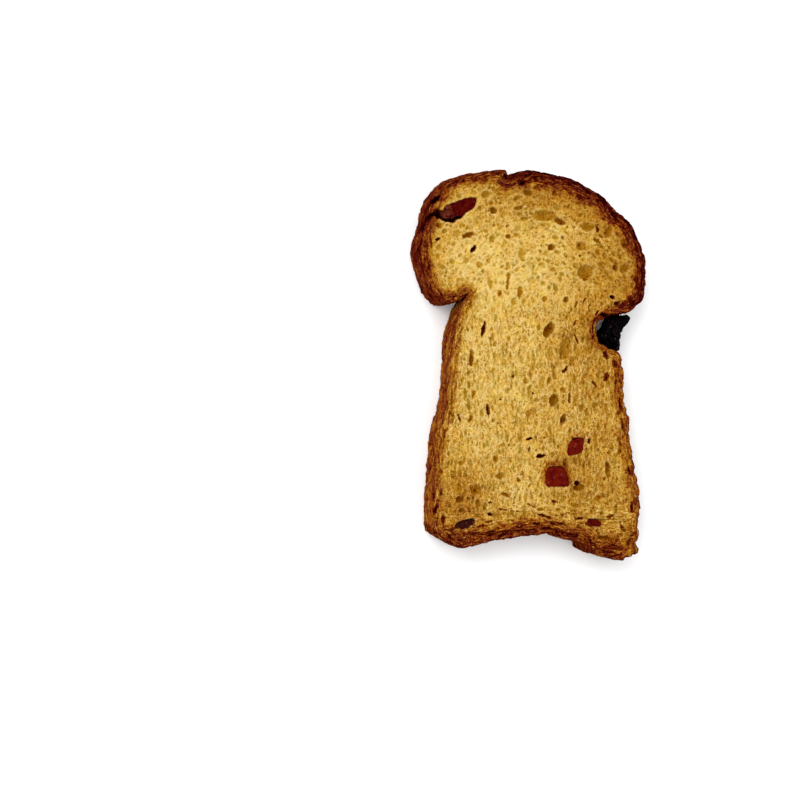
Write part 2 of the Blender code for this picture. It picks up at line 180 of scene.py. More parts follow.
# %% Distances from the crust
def from_crust(points):
    """Each point's distance from the outline, its nearest outline point, and if it is inside."""
    best = np.full(len(points), np.inf)
    nearest = np.zeros(len(points), int)
    odd = np.zeros(len(points), bool)
    x, y = points[:, 0], points[:, 1]
    for i in range(COUNT):
        a = outline[i]
        b = outline[(i + 1) % COUNT]
        side = b - a
        rel = points - a
        share = np.clip(rel @ side / (side @ side), 0, 1)
        gap = np.hypot(*(rel - share[:, None] * side).T)
        closer = gap < best
        best[closer] = gap[closer]
        nearest[closer] = i
        if a[1] != b[1]:
            crosses = (a[1] > y) != (b[1] > y)
            odd ^= crosses & (x < a[0] + (y - a[1]) / (b[1] - a[1]) * (b[0] - a[0]))
    return best, nearest, odd


# %% Noise and smooth steps
SEED_STEP = np.array([7.31, 3.17, 5.77])         # each seed reads the noise in another place


def lumps(places, size, seed):
    """Noise between about -0.7 and 0.7 at each place, with lumps of the given size."""
    at = np.zeros((len(places), 3))
    at[:, :places.shape[1]] = places
    at = at / size + seed * SEED_STEP
    return np.array([noise.noise(p) for p in at.tolist()])


def smooth(values, start, end):
    """0 before start, 1 after end, and a smooth rise between."""
    share = np.clip((values - start) / (end - start), 0, 1)
    return share * share * (3 - 2 * share)


# %% [markdown]
# ## The pores of the crumb
#
# Yeast blew bubbles in the dough, and the knife cut through them. In the cap
# they lie along the curve of the crust, in the body they are drawn out
# upwards, and near the foot they are pressed flat. The large eyes are what
# makes this slice itself and no other, so each has a place of its own. They
# are sorted by what is seen in them, from flat golden floors to burnt holes.
# The thousands of others are thrown at random, large ones first, and kept only
# where they don't crowd one another. A sieve like that gives the even, never
# regular spacing of real crumb, which plain random places don't.

# %% Eyes with a place of their own
# The middle, length, width and turn of each. These have flat golden floors:
HOLLOWS = (
    (3.0, 41.0, 7.4, 3.1, 2), (15.5, 38.3, 3.8, 2.8, 0), (21.5, 37.0, 3.4, 2.4, 60),
    (26.4, 34.0, 3.4, 2.4, -62), (13.5, 33.0, 3.2, 2.6, 0), (-27.0, 37.6, 2.0, 1.8, 0),
    (26.0, 27.0, 2.6, 2.2, 80), (19.2, 28.2, 1.8, 1.2, 10), (14.8, 25.8, 4.6, 4.2, 20),
    (-4.0, 20.2, 3.6, 1.7, 85), (-9.8, 19.8, 2.2, 1.3, 80), (3.0, 18.3, 1.8, 1.5, 60),
    (9.0, 5.0, 6.6, 3.4, 80), (8.3, -6.4, 2.0, 1.8, 0), (-2.6, -3.6, 3.0, 1.1, -85),
    (17.6, -10.5, 2.2, 1.7, 0), (-17.2, -7.5, 3.0, 1.2, 80), (17.8, -19.4, 2.4, 1.4, 90),
    (-11.0, -25.0, 2.2, 1.6, 90), (-16.6, -33.2, 3.4, 2.8, 0), (12.0, -37.8, 3.4, 1.5, -12),
    (18.6, -36.0, 2.8, 1.8, 15), (-20.8, -26.0, 1.8, 1.4, 0), (-7.5, 23.0, 5.8, 0.9, 85),
    (-1.6, -12.8, 2.8, 1.6, 75), (-9.6, -29.6, 2.4, 2.1, 0),
)
# A pale film has dried over these:
FILMS = (
    (-3.5, 30.5, 3.2, 2.5, 90), (-27.0, 31.8, 2.0, 1.8, 0), (-15.5, 27.3, 2.2, 2.0, 0),
    (-19.0, 28.5, 1.7, 1.5, 0), (-13.0, 28.3, 1.5, 1.4, 0), (-7.4, 27.0, 2.2, 1.8, 80),
    (2.3, 27.6, 2.2, 2.0, 0), (-12.5, 22.5, 3.8, 1.6, -70), (4.6, 3.5, 3.8, 2.4, 80),
    (-3.8, 2.2, 3.3, 1.7, -80), (2.2, -4.8, 3.2, 2.0, 80), (11.6, -3.6, 3.4, 1.6, 90),
    (3.2, -8.8, 2.4, 2.2, 0), (12.2, -9.3, 3.6, 1.9, 85),
)
# These are open and brown inside:
BROWN_EYES = (
    (-11.5, 42.0, 2.2, 2.0, 0), (-4.4, 42.9, 2.7, 1.2, 8), (7.5, 39.6, 3.6, 1.7, -22),
    (-18.7, 35.2, 3.6, 1.5, 18), (-7.4, 35.1, 1.9, 1.4, 0), (5.0, 32.5, 2.4, 1.7, 20),
    (18.2, 34.6, 2.6, 1.1, -32), (14.9, 24.0, 2.1, 1.2, 8), (23.6, 27.2, 2.0, 1.5, -50),
    (9.3, 18.3, 1.8, 1.5, 60), (4.3, 10.0, 5.0, 2.8, 56), (5.8, -9.2, 3.8, 2.7, 70),
    (8.4, -14.4, 3.2, 1.8, 72), (-18.0, -14.2, 2.2, 1.1, 68), (-8.2, -34.6, 3.0, 1.1, -20),
    (-21.1, -35.8, 2.4, 1.9, 0), (-4.3, -30.7, 1.7, 1.0, -60), (-20.5, -38.7, 2.0, 1.4, 0),
    (20.6, -47.0, 4.6, 1.4, -10), (-17.8, 2.2, 4.9, 1.5, 90), (21.5, -28.2, 4.8, 1.7, -82),
    (13.0, -33.0, 4.0, 2.0, 6),
)
# These are narrow, with dark walls:
SLITS = (
    (18.4, 38.0, 2.5, 0.8, -74), (12.2, 17.2, 2.4, 0.5, 66),
    (16.0, 16.8, 2.4, 0.5, 66), (11.7, 12.0, 2.2, 0.5, 70), (12.2, 7.6, 2.8, 0.6, -68),
    (-14.4, 9.9, 5.0, 1.1, 76), (17.4, -4.6, 2.2, 0.5, -50),
    (10.2, -9.0, 4.0, 0.7, 87), (-13.1, -11.7, 3.5, 0.9, -82), (-21.2, -14.0, 2.0, 0.6, -75),
    (12.0, -19.7, 2.6, 0.5, 4), (22.3, -41.0, 3.0, 0.5, 14), (13.3, 33.4, 1.0, 0.7, 60),
    (13.3, 30.3, 0.9, 0.6, 0), (9.2, -0.7, 1.7, 0.8, 70), (8.6, -1.3, 1.2, 0.7, 30),
    (-5.9, -2.6, 1.1, 0.7, 80), (-9.6, -9.0, 0.9, 0.6, 60), (-0.2, -7.2, 0.9, 0.6, 0),
    (-12.5, -36.7, 1.1, 0.7, 0), (-16.6, -33.6, 1.2, 0.6, 30), (-1.4, -22.4, 1.3, 0.6, 80),
    (3.0, -19.4, 1.0, 0.6, 0), (-4.5, -31.0, 1.4, 0.6, -60), (14.6, 18.4, 2.0, 0.4, 60),
    (10.6, 15.2, 2.2, 0.4, 62), (18.2, 14.9, 2.0, 0.4, 50), (-5.0, -39.2, 3.4, 0.4, -4),
    (3.0, -40.6, 3.8, 0.8, -16), (9.4, -40.0, 3.0, 0.4, 12), (-1.0, -37.6, 2.8, 0.4, -24),
    (-9.0, -38.6, 2.6, 0.5, -10), (6.2, -36.8, 2.8, 0.5, -14), (13.6, -41.4, 3.0, 0.5, 8),
    (-12.8, -41.8, 2.4, 0.5, 6), (0.6, -42.6, 3.2, 0.5, -2), (7.6, -42.8, 2.6, 0.5, 10),
)
# Shallow places that have gone dark red:
BLOTCHES = (
    (20.6, 3.2, 3.2, 1.3, -66), (23.3, 0.9, 2.9, 1.7, -74), (20.9, -2.9, 2.8, 1.7, 72),
    (23.6, -4.6, 3.0, 0.9, 84), (24.9, -10.5, 5.0, 1.1, -80), (25.6, -16.4, 3.4, 0.9, -86),
    (27.5, -28.5, 3.6, 0.9, -78), (28.2, -38.6, 3.4, 1.0, 86), (25.8, -44.4, 2.8, 1.5, -60),
    (24.6, -49.9, 3.4, 1.2, 0), (27.4, -48.4, 2.6, 1.2, 70), (15.6, -47.7, 4.2, 1.6, -22),
    (-25.8, -41.2, 3.6, 1.5, 88), (-27.8, -38.0, 3.2, 1.1, 70), (-26.4, -33.4, 2.6, 0.8, 84),
    (-25.6, -18.6, 4.0, 0.7, 82), (3.6, -43.8, 3.4, 1.1, 10), (-8.0, -44.6, 4.6, 1.0, 4),
    (-29.8, 26.4, 4.6, 0.9, 80), (-29.2, 33.2, 3.6, 0.8, 100), (-21.0, 18.6, 3.4, 0.7, 20),
)
# And these are burnt black:
BURNT_HOLES = (
    (-17.2, 31.6, 2.4, 1.1, 52), (-27.3, 33.9, 1.5, 0.7, 25), (22.7, 19.2, 1.5, 1.4, 0),
    (24.0, 17.5, 1.8, 1.2, 20), (2.0, -24.3, 2.6, 0.9, 8), (-1.3, -19.6, 1.7, 0.8, 10),
    (15.9, -20.4, 1.7, 1.0, 85), (12.6, -31.8, 2.0, 1.3, -20), (-12.5, -39.9, 1.7, 0.8, -5),
)
# Cracks in the crust, and the gap below the raisin in the crown, painted near
# black; in the gap below the raisin that is painted shade:
CRUST_SLOTS = (
    (-29.2, 40.0, 6.0, 1.3, 37), (-26.7, 40.5, 3.0, 2.2, 20), (-25.3, 39.9, 3.6, 2.2, -18),
    (-23.4, 39.5, 3.4, 2.0, -4), (-21.5, 40.4, 3.8, 2.0, 22), (-27.8, 44.5, 3.8, 1.3, 40),
    (-30.2, 42.0, 2.6, 0.8, 66), (-8.3, 51.2, 1.6, 0.6, -62), (20.8, 14.0, 3.8, 1.3, -22),
)
# The depth of each kind as a share of its width, how dark it is painted, which
# is partly browning and partly shade deep in it, and how its wall falls: 1 is a
# dish, 0 a shaft
EYE_KINDS = (
    (HOLLOWS, 0.36, 0.27, 0.50), (FILMS, 0.28, 0.12, 0.60), (BROWN_EYES, 0.70, 0.38, 0.55),
    (SLITS, 1.2, 0.62, 0.40), (BLOTCHES, 0.30, 0.68, 0.60), (BURNT_HOLES, 1.3, 0.84, 0.35),
    (CRUST_SLOTS, 1.2, 0.95, 0.35),
)
EYES = [(*row, row[3] * share, dark, fall)
        for rows, share, dark, fall in EYE_KINDS for row in rows]
print(len(EYES), "eyes of", len(EYE_KINDS), "kinds")

# %% Pores by rule
CAP_MIDDLE = 14.0        # the pores of the cap lie round a point this high
CAP_RADIUS = 30.0        # and most of them about this far from it
CAP_FOOT = 22.0          # the cap begins here
BASE_TOP = -38.0         # and below this is the base, where pores are pressed flat
BODY_TURN = 84.0         # the turn of those between the two, which stand nearly upright
TURN_SPREAD = 14.0       # how much the turns differ
CAP_WIDER = 1.35         # the pores of the cap are rounder by this
TRIES = 12               # places tried for each pore that is wanted
SHORT_BIAS = 1.6         # 1 spreads the lengths evenly, and more makes short pores common
SHALLOW_BIAS = 1.7       # and the same for how steep they are


def flow(x, y):
    """The turn in degrees that the pores have at one place."""
    if y > CAP_FOOT:
        return math.degrees(math.atan2(y - CAP_MIDDLE, x)) + 90.0
    return 0.0 if y < BASE_TOP else BODY_TURN


def thrown(classes, taken, rng):
    """Random pores, kept where they don't crowd another one, an eye or the crust."""
    low, high = outline.min(axis=0), outline.max(axis=0)
    spots = [(eye[0], eye[1], math.sqrt(eye[2] * eye[3]) / 2) for eye in taken]
    held = np.zeros((sum(kind[0] for kind in classes) + len(spots), 3))
    if spots:
        held[:len(spots)] = spots
    filled = len(spots)
    pores = []
    for count, least, greatest, slim, apart, off_crust, steep, burnt, fall in classes:
        tries = rng.uniform(low, high, (count * TRIES, 2))
        gap, _, inside = from_crust(tries)
        made = 0
        for (x, y), edge, within in zip(tries.tolist(), gap, inside):
            if made == count:
                break
            length = least + (greatest - least) * rng.uniform() ** SHORT_BIAS
            wider = CAP_WIDER if y > CAP_FOOT else 1.0
            width = length * min(1.0, rng.uniform(*slim) * wider)
            radius = math.sqrt(length * width) / 2
            if not within or edge < radius + off_crust:
                continue
            away = np.hypot(held[:filled, 0] - x, held[:filled, 1] - y)
            if (away < (held[:filled, 2] + radius) * apart).any():
                continue
            held[filled] = x, y, radius
            filled += 1
            made += 1
            turn = flow(x, y) + rng.normal(0, TURN_SPREAD)
            part = rng.uniform() ** SHALLOW_BIAS
            deep = width * (steep[0] + (steep[1] - steep[0]) * part)
            pores.append((x, y, length, width, turn, deep, rng.uniform(*burnt), fall))
    return pores


# How many, their least and greatest length, how slim, how close to each other, how far
# off the crust, their depth as a share of the width, how dark they have gone, and how
# their walls fall
FRONT_PORES = (
    (46, 2.2, 3.8, (0.4, 0.8), 1.05, 2.2, (0.12, 0.3), (0.0, 0.0), 1.0),
    (300, 1.5, 2.9, (0.25, 0.65), 1.0, 1.2, (0.2, 0.7), (0.0, 0.1), 0.6),
    (190, 0.5, 1.1, (0.5, 1.0), 1.2, 1.0, (0.6, 1.1), (0.25, 0.5), 0.5),
    (1300, 0.9, 2.1, (0.2, 0.65), 0.85, 0.5, (0.06, 0.6), (0.0, 0.0), 0.6),
    (2600, 0.5, 1.1, (0.35, 0.9), 0.85, 0.3, (0.1, 0.6), (0.0, 0.0), 0.6),
)
BACK_PORES = (
    (26, 2.8, 4.8, (0.45, 0.8), 1.1, 2.5, (0.2, 0.6), (0.0, 0.3), 0.7),
    (300, 1.5, 2.9, (0.25, 0.7), 1.0, 1.2, (0.15, 0.6), (0.0, 0.1), 0.7),
    (110, 0.7, 1.2, (0.6, 1.0), 1.2, 1.0, (0.8, 1.2), (0.3, 0.5), 0.5),
    (1700, 0.95, 2.1, (0.3, 0.8), 0.85, 0.5, (0.1, 0.5), (0.0, 0.0), 0.7),
)
front_pores = thrown(FRONT_PORES, EYES, np.random.default_rng(11))
back_pores = thrown(BACK_PORES, (), np.random.default_rng(12))
print(len(front_pores), "pores in front and", len(back_pores), "behind")

# %% [markdown]
# ## Pressing the pores into a face
#
# A face is a dense grid of points with a height each, which is enough because
# the face is seen from above: what a bubble hides under its rim can't be seen.
# A pore is pressed in as a bowl, with a wall as steep as its kind says. Where
# two of them overlap, the deeper one counts, as it does where two bubbles have
# met. Each rim wobbles with the noise, since no bubble is a true ellipse.

# %% Bowls in a face
RIM_WOBBLE = 0.16        # millimetres
# A bowl's tone is how much painted shade it gets, so that it looks deeper
LEAST_TONE = 0.15        # how deep the shallowest bowl looks, from 0 to 1
TONE_STEEP = 1.4         # and how much deeper it looks where it is as deep as it is wide
GRID_SHIFT = 0.22        # how far a point of a face is moved at random, as a share of a step


class Face:
    """The points of one cut face, with what has been pressed into each."""

    def __init__(self, points, edge, nearest):
        self.points = points
        self.edge = edge
        self.nearest = nearest
        self.wobble = lumps(points, 1.1, 1) + 0.8 * lumps(points, 0.5, 2)
        self.tree = kdtree.KDTree(len(points))
        for i, (x, y) in enumerate(points.tolist()):
            self.tree.insert((x, y, 0.0), i)
        self.tree.balance()

    def pressed(self, pores):
        """The depth of the pores at every point, how far into one it lies, and its dark."""
        depth, into, dark = np.zeros((3, len(self.points)))
        for x, y, length, width, turn, deep, gone_dark, fall in pores:
            found = self.tree.find_range((x, y, 0.0), length * 0.5 + RIM_WOBBLE)
            if not found:
                continue
            ids = np.array([item[1] for item in found])
            rel = self.points[ids] - (x, y)
            cosine, sine = math.cos(math.radians(turn)), math.sin(math.radians(turn))
            u = (rel[:, 0] * cosine + rel[:, 1] * sine) / (length / 2)
            v = (rel[:, 1] * cosine - rel[:, 0] * sine) / (width / 2)
            # 0 in the middle of the pore and 1 on its wobbling rim
            out = np.hypot(u, v) + RIM_WOBBLE * self.wobble[ids] / (width / 2)
            bowl = np.clip(1 - out ** 2, 0, 1) ** fall
            tone = min(1.0, LEAST_TONE + TONE_STEEP * deep / width)
            depth[ids] = np.maximum(depth[ids], deep * bowl)
            into[ids] = np.maximum(into[ids], tone * bowl)
            # Darkest in the middle of the bowl: browning, and painted shade deep in it
            dark[ids] = np.maximum(dark[ids], gone_dark * np.sqrt(bowl))
        return depth, into, dark


def grid(step, rng):
    """A triangular grid over the slice, each point shifted a little at random."""
    low, high = outline.min(axis=0), outline.max(axis=0)
    rise = step * math.sqrt(0.75)
    rows = np.arange(low[1], high[1], rise)
    columns = np.arange(low[0], high[0], step)
    x, y = np.meshgrid(columns, rows)
    x[1::2] += step / 2
    points = np.c_[x.ravel(), y.ravel()]
    return points + rng.uniform(-GRID_SHIFT, GRID_SHIFT, points.shape) * step


# %% [markdown]
# ## The fruit and its pockets
#
# Five pieces of fruit lie in the crumb, and a raisin is wedged in the right
# neck. The same figures as in the solids give each of the five its place. A
# raisin isn't round and a cut cube isn't square, so a piece is drawn by how
# far it reaches from its middle in each direction, and only the thin sliver is
# a plain oval. A pocket goes down under each piece. It is as wide as the fruit
# and narrows with it, because dough bakes on to what lies in it. Round candied
# fruit the syrup has browned the crumb.

# %% Places of the fruit
# The middle of a piece, its height, its turn, and how far its top lies below the face
Fruit = namedtuple("Fruit", "x y height turn below")
FRUIT = {
    "crown_raisin": Fruit(-21.2, 42.5, 4.2, 24, 0.35),
    "candied_cube": Fruit(6.6, -30.0, 5.4, -3, 0.55),
    "candied_chip": Fruit(11.8, -21.8, 3.2, 48, 0.35),
    "heel_raisin": Fruit(-19.8, -42.3, 3.0, 14, 0.40),
    "candied_sliver": Fruit(17.2, -42.6, 2.4, -9, 0.30),
}
# How far a piece reaches from its middle, by direction in degrees:
REACH = {
    "neck_raisin": (
        (3, 2.3), (12, 3.0), (24, 3.4), (30, 4.9), (39, 7.0), (46, 6.9), (69, 5.5),
        (96, 5.0), (115, 4.3), (134, 3.1), (155, 3.2), (176, 4.1), (194, 4.1), (236, 4.1),
        (266, 4.2), (288, 5.4), (298, 4.9), (322, 2.9)),
    "crown_raisin": (
        (11, 4.6), (34, 6.5), (57, 4.2), (84, 2.9), (129, 2.7), (160, 4.1), (174, 5.3),
        (189, 5.8), (204, 5.4), (212, 4.6), (230, 2.9), (240, 1.9), (281, 1.6), (338, 1.9),
        (358, 2.9)),
    "heel_raisin": (
        (7, 3.1), (23, 3.4), (47, 1.8), (90, 1.0), (153, 1.4), (173, 2.6), (189, 3.8),
        (203, 4.1), (212, 2.5), (248, 1.5), (293, 1.2), (342, 1.8)),
    "candied_cube": (
        (0, 3.2), (25, 3.0), (50, 3.3), (70, 3.0), (90, 2.9), (112, 3.0), (138, 3.7),
        (160, 3.4), (180, 3.4), (200, 3.6), (221, 4.2), (245, 3.3), (270, 3.0), (295, 3.4),
        (322, 4.6), (342, 3.7)),
    "candied_chip": (
        (12, 1.9), (45, 2.9), (80, 1.9), (110, 1.7), (150, 1.8), (190, 2.0), (225, 2.9),
        (262, 1.9), (300, 1.9), (340, 2.0)),
}
# The sliver's length, its width, and how square it is: 2 is an ellipse
OVAL = (4.4, 1.9, 2.2)
print(len(FRUIT), "pieces in the crumb and one in the neck")

# %% Pockets and stains
POCKET_LIP = 1.00        # where the wall of a pocket begins, as a share of the fruit's reach
POCKET_FOOT = 0.70       # and where it meets the floor
POCKET_FLOOR = 0.4       # millimetres left under the fruit
# How brown the syrup has made the crumb beside a piece
STAIN = {"candied_cube": 0.56, "candied_chip": 0.40}
STAIN_REACH = 2.4        # millimetres that it spreads
STAIN_FALL = 1.3         # 1 fades it evenly, and more fades it sooner
STAIN_UP = 0.8           # it spreads this much further towards the cap


def reach_to(name, directions):
    """How far a piece of fruit reaches in each direction, in the plane of the face."""
    if name in REACH:
        knots = np.array(REACH[name], float)
        return np.interp(directions, knots[:, 0], knots[:, 1], period=360)
    length, width, square = OVAL
    own = np.radians(directions - FRUIT[name].turn)
    across = np.abs(np.cos(own) / length * 2) ** square
    across += np.abs(np.sin(own) / width * 2) ** square
    return across ** (-1 / square)


def beside(name, points):
    """Each point's distance from the middle of a piece, and the piece's reach towards it."""
    turns = np.arange(360)
    rim = reach_to(name, turns)[:, None] * np.c_[np.cos(np.radians(turns)),
                                                 np.sin(np.radians(turns))]
    low, high = box_mm(name)
    least, most = rim.min(axis=0), rim.max(axis=0)
    rel = least + (points - low[:2]) / (high - low)[:2] * (most - least)
    return np.hypot(*rel.T), reach_to(name, np.degrees(np.arctan2(rel[:, 1], rel[:, 0])))


def pockets(points):
    """The depth of the pockets at each point, and how far syrup has stained it."""
    depth, stain = np.zeros((2, len(points)))
    for name, fruit in FRUIT.items():
        away, reach = beside(name, points)
        wall = 1 - smooth(away / reach, POCKET_FOOT, POCKET_LIP)
        depth = np.maximum(depth, wall * (fruit.height + fruit.below + POCKET_FLOOR))
        away, reach = beside(name, points - (0, STAIN_UP))
        fading = np.clip(1 - (away - reach) / STAIN_REACH, 0, 1) ** STAIN_FALL
        stain = np.maximum(stain, STAIN.get(name, 0) * fading)
    return depth, stain


# %% [markdown]
# ## The relief of the cut faces
#
# From coarse to fine, a face is made of these: the crumb dried to below its
# hard rim, wide low waves, the eyes, the pores, fibres that run with the
# pores, fine cracks that run along the crust, and the grain of the crumb
# itself. All are added as depths below the level of the rim. Eyes have smooth
# floors, so pores and fibres fade out inside them, and in the crust both are
# weaker. A pocket for fruit comes last, and counts wherever it is deeper.

# %% Relief
CRUMB_SINK = 0.40        # these depths are in millimetres
WAVE_DEPTH = 0.30
FIBRE_DEPTH = 0.16
CRACK_DEPTH = 0.26
GRAIN_DEPTH = 0.14
SINK_REACH = 7.0         # the crumb has sunk fully this far from the crust
CRACK_WIDTH = 0.16       # as a share of the noise's height
SMALL_TONE = 0.76        # how deep a pore looks beside an eye of the same form
CAP_SOFT = 0.12          # and these are the shares by which pores are shallower: in the cap,
EYE_CALM = 0.85          # on the floor of an eye,
CRUST_CALM = 0.45        # and in the crust


def in_cap(y):
    """1 in the cap, 0 in the body, and a smooth passage between."""
    return smooth(y, CAP_FOOT - 10, CAP_FOOT + 4)


def fibres(points, seed):
    """Noise drawn out along the flow of the crumb."""
    x, y = points.T
    out = np.hypot(x, y - CAP_MIDDLE)
    round_cap = np.arctan2(y - CAP_MIDDLE, x) * CAP_RADIUS
    cap = lumps(np.c_[out / 0.75, round_cap / 2.4], 1.0, seed)
    body = lumps(np.c_[x / 0.7, y / 3.6], 1.0, seed)
    wavy = y + 1.1 * lumps(points, 4.0, seed + 6)
    base = lumps(np.c_[x / 3.6, wavy / 0.55], 1.0, seed)
    up = smooth(y, CAP_FOOT - 8, CAP_FOOT + 6)
    down = 1 - smooth(y, BASE_TOP - 3, BASE_TOP + 6)
    return cap * up + base * down + body * (1 - up - down)


def cracks(across, around, apart, length, seed):
    """Thin wavering lines along the crust: 1 in the middle of a line, 0 beside it."""
    line = lumps(np.c_[across / apart, around / length], 1.0, seed)
    return np.clip(1 - np.abs(line) / CRACK_WIDTH, 0, 1)


def relief(face, eyes, pores, with_fruit):
    """The depth of every point below the rim's level, and what the finish needs to know."""
    points, edge = face.points, face.edge
    reach = brown_reach[face.nearest]
    eye_depth, eye_into, dark = face.pressed(eyes)
    pore_depth, pore_into, _ = face.pressed(pores)
    calm = smooth(eye_into, 0.15, 0.6)
    crust = 1 - smooth(edge, 0.35 * reach, 1.15 * reach)
    depth = CRUMB_SINK * smooth(edge, 0.0, SINK_REACH)
    depth += WAVE_DEPTH * smooth(edge, 1.0, 8.0) * (0.5 + 0.7 * lumps(points, 13.0, 3))
    softer = 1 - CAP_SOFT * in_cap(points[:, 1])
    pore_depth *= softer
    pore_into *= softer
    depth += eye_depth + pore_depth * (1 - EYE_CALM * calm) * (1 - CRUST_CALM * crust)
    depth += FIBRE_DEPTH * (0.5 + fibres(points, 4)) * (1 - calm) * (1 - crust)
    ring = along[face.nearest]
    bent = edge + 0.7 * lumps(points, 2.2, 5)
    crack = cracks(bent, ring, 1.0, 6.0, 6) + 0.7 * cracks(bent, ring, 0.7, 2.6, 9)
    depth += CRACK_DEPTH * crack * crust * smooth(edge, 0.2, 0.7)
    grain = lumps(points, 0.8, 7) + 0.6 * lumps(points, 0.42, 8)
    depth += GRAIN_DEPTH * grain * (1 - 0.6 * calm)
    stain = np.zeros(len(points))
    if with_fruit:
        pocket, stain = pockets(points)
        depth = np.maximum(depth, pocket)
    facts = {"pit": np.maximum(pore_into * SMALL_TONE, eye_into), "dark": dark,
             "stain": stain, "crack": crack}
    return np.maximum(depth, 0), facts


# %% [markdown]
# ## Browning
#
# Bread browns in one order: pale, golden, orange-brown, chestnut and at last
# near black. So one number from 0 to 1 says how far each point has come, and
# the colours follow from it later. It is highest at the crust, reaches in by
# the amounts in the table of stretches, and rises in broad patches where the
# slice lay nearer the heat: its right half, the top of the cap and the lower
# left corner. Those are soft ellipses with a middle, two radii and an amount.
# Other ellipses stayed paler, and they come after the crust, because a few of
# them reach into it. An eye is painted as dark as its kind and darkest in its
# middle: partly browning, and partly painted shade in the hollow.

# %% Patches of the bake
WARM_PATCHES = (
    (21.0, 26.0, 9.0, 16.0, 0.20), (4.0, 46.0, 24.0, 6.5, 0.18), (17.0, -8.0, 12.0, 22.0, 0.17),
    (8.0, 5.5, 6.0, 7.0, 0.09), (-21.0, -36.0, 10.0, 11.0, 0.26), (16.0, -38.0, 16.0, 12.0, 0.16),
    (-28.0, 30.0, 6.0, 12.0, 0.12), (14.0, 12.0, 6.0, 5.0, 0.06), (17.0, 9.2, 1.6, 4.0, 0.30),
    (20.2, 14.2, 1.7, 1.0, 0.60), (6.6, -28.0, 5.2, 4.0, 0.06), (11.9, -26.5, 6.0, 4.0, 0.06),
    (-22.0, 38.0, 8.0, 4.0, 0.06), (0.0, -42.0, 24.0, 5.0, 0.08), (-4.0, -14.0, 12.0, 14.0, 0.04),
    (29.0, 25.0, 4.0, 9.0, 0.12), (24.0, -49.0, 5.5, 4.2, 0.34), (-27.0, -22.0, 3.0, 12.0, 0.07),
)
PALE_PATCHES = (
    (-6.0, 24.0, 17.0, 10.0, 0.05), (-9.0, -5.0, 11.0, 20.0, 0.03), (4.0, -38.5, 11.0, 2.6, 0.06),
    (-14.0, 30.0, 9.0, 7.0, 0.03), (-16.0, 20.5, 3.5, 2.6, 0.12), (-17.0, -47.5, 5.0, 2.2, 0.12),
    (-24.0, -3.0, 2.2, 12.0, 0.05),
)
# From the outline inwards: 0.5 is where the burnt part ends, and 1 is the reach
# of the browning. Each comes with its share of the rim's browning, which is over
# 1 at the very edge.
RIM_FALL = (
    (0.0, 1.24), (0.15, 1.10), (0.47, 0.95), (0.56, 0.72), (0.97, 0.50), (1.12, 0.24), (2.2, 0.0),
)
print(len(WARM_PATCHES), "warm patches and", len(PALE_PATCHES), "pale ones")

# %% How brown each point is
PALE = 0.12              # the crumb itself
CLOUD_BROWN = 0.07       # and by how much it changes in clouds 11 mm wide
BLOT_BROWN = 0.08        # and in blots 3 mm wide
STREAK_BROWN = 0.20      # how much darker a streak along the crust is
CRACK_BROWN = 0.20       # a crack in the crust
PORE_BROWN = 0.22        # the floor of a pore near the crust
# The dark of an eye is partly browning and partly painted shade
DARK_BROWN = 1.15        # and an eye that has gone as dark as it can
EYE_UNEVEN = 0.45        # how unevenly an eye has gone dark
STAIN_UNEVEN = 0.15      # and syrup has spread


def patch(points, x, y, wide, high):
    """A soft ellipse: 1 in its middle and falling to 0 round it."""
    return np.exp(-((points[:, 0] - x) / wide) ** 2 - ((points[:, 1] - y) / high) ** 2)


def face_browning(face, facts, mirrored):
    """How far every point of a cut face has browned."""
    points = face.points * ((-1, 1) if mirrored else (1, 1))
    level = PALE + CLOUD_BROWN * lumps(face.points, 11.0, 21)
    level += BLOT_BROWN * lumps(face.points, 3.2, 22)
    for x, y, wide, high, amount in WARM_PATCHES:
        level += amount * patch(points, x, y, wide, high)
    near = face.nearest
    burnt = burnt_share[near]
    streak = lumps(np.c_[face.edge / 0.5, along[near] / 3.0], 1.0, 23)
    uneven = lumps(face.points, 4.5, 24) + lumps(face.points, 1.2, 25)
    uneven *= 0.16 + 0.5 * ragged[near]
    from_edge = face.edge / brown_reach[near] * (1 + uneven) + 0.10 * streak
    share = np.where(from_edge < burnt, 0.5 * from_edge / burnt,
                     0.5 + 0.5 * (from_edge - burnt) / (1 - burnt))
    share = np.interp(share, *np.array(RIM_FALL).T)
    level += (rim_brown[near] - level) * share
    for x, y, wide, high, amount in PALE_PATCHES:
        level -= amount * patch(points, x, y, wide, high)
    in_crust = 1 - smooth(from_edge, 1.0, 1.3)
    level += (CRACK_BROWN * facts["crack"] + STREAK_BROWN * streak) * in_crust
    level += PORE_BROWN * facts["pit"] * smooth(share, 0.05, 0.5)
    stained = facts["stain"] * (1 + STAIN_UNEVEN * lumps(face.points, 1.2, 26))
    in_eye = DARK_BROWN * facts["dark"] * (1 + EYE_UNEVEN * lumps(face.points, 1.8, 27))
    return np.clip(np.maximum(np.maximum(level, stained), in_eye), 0, 1)


# %% [markdown]
# ## The crust
#
# The outside of the slice is the skin of the loaf, a wall 9.5 mm high between
# the two faces. It is rubbed round at its edges, hollowed between crags, and
# wrinkled across where the skin dried, and where it is ragged, bits have
# crumbled off it. In every row, each point of the outline is moved inwards by
# these amounts, less the height of the highest crags, so that the crags stand
# out a little and the hollows lie behind the outline.

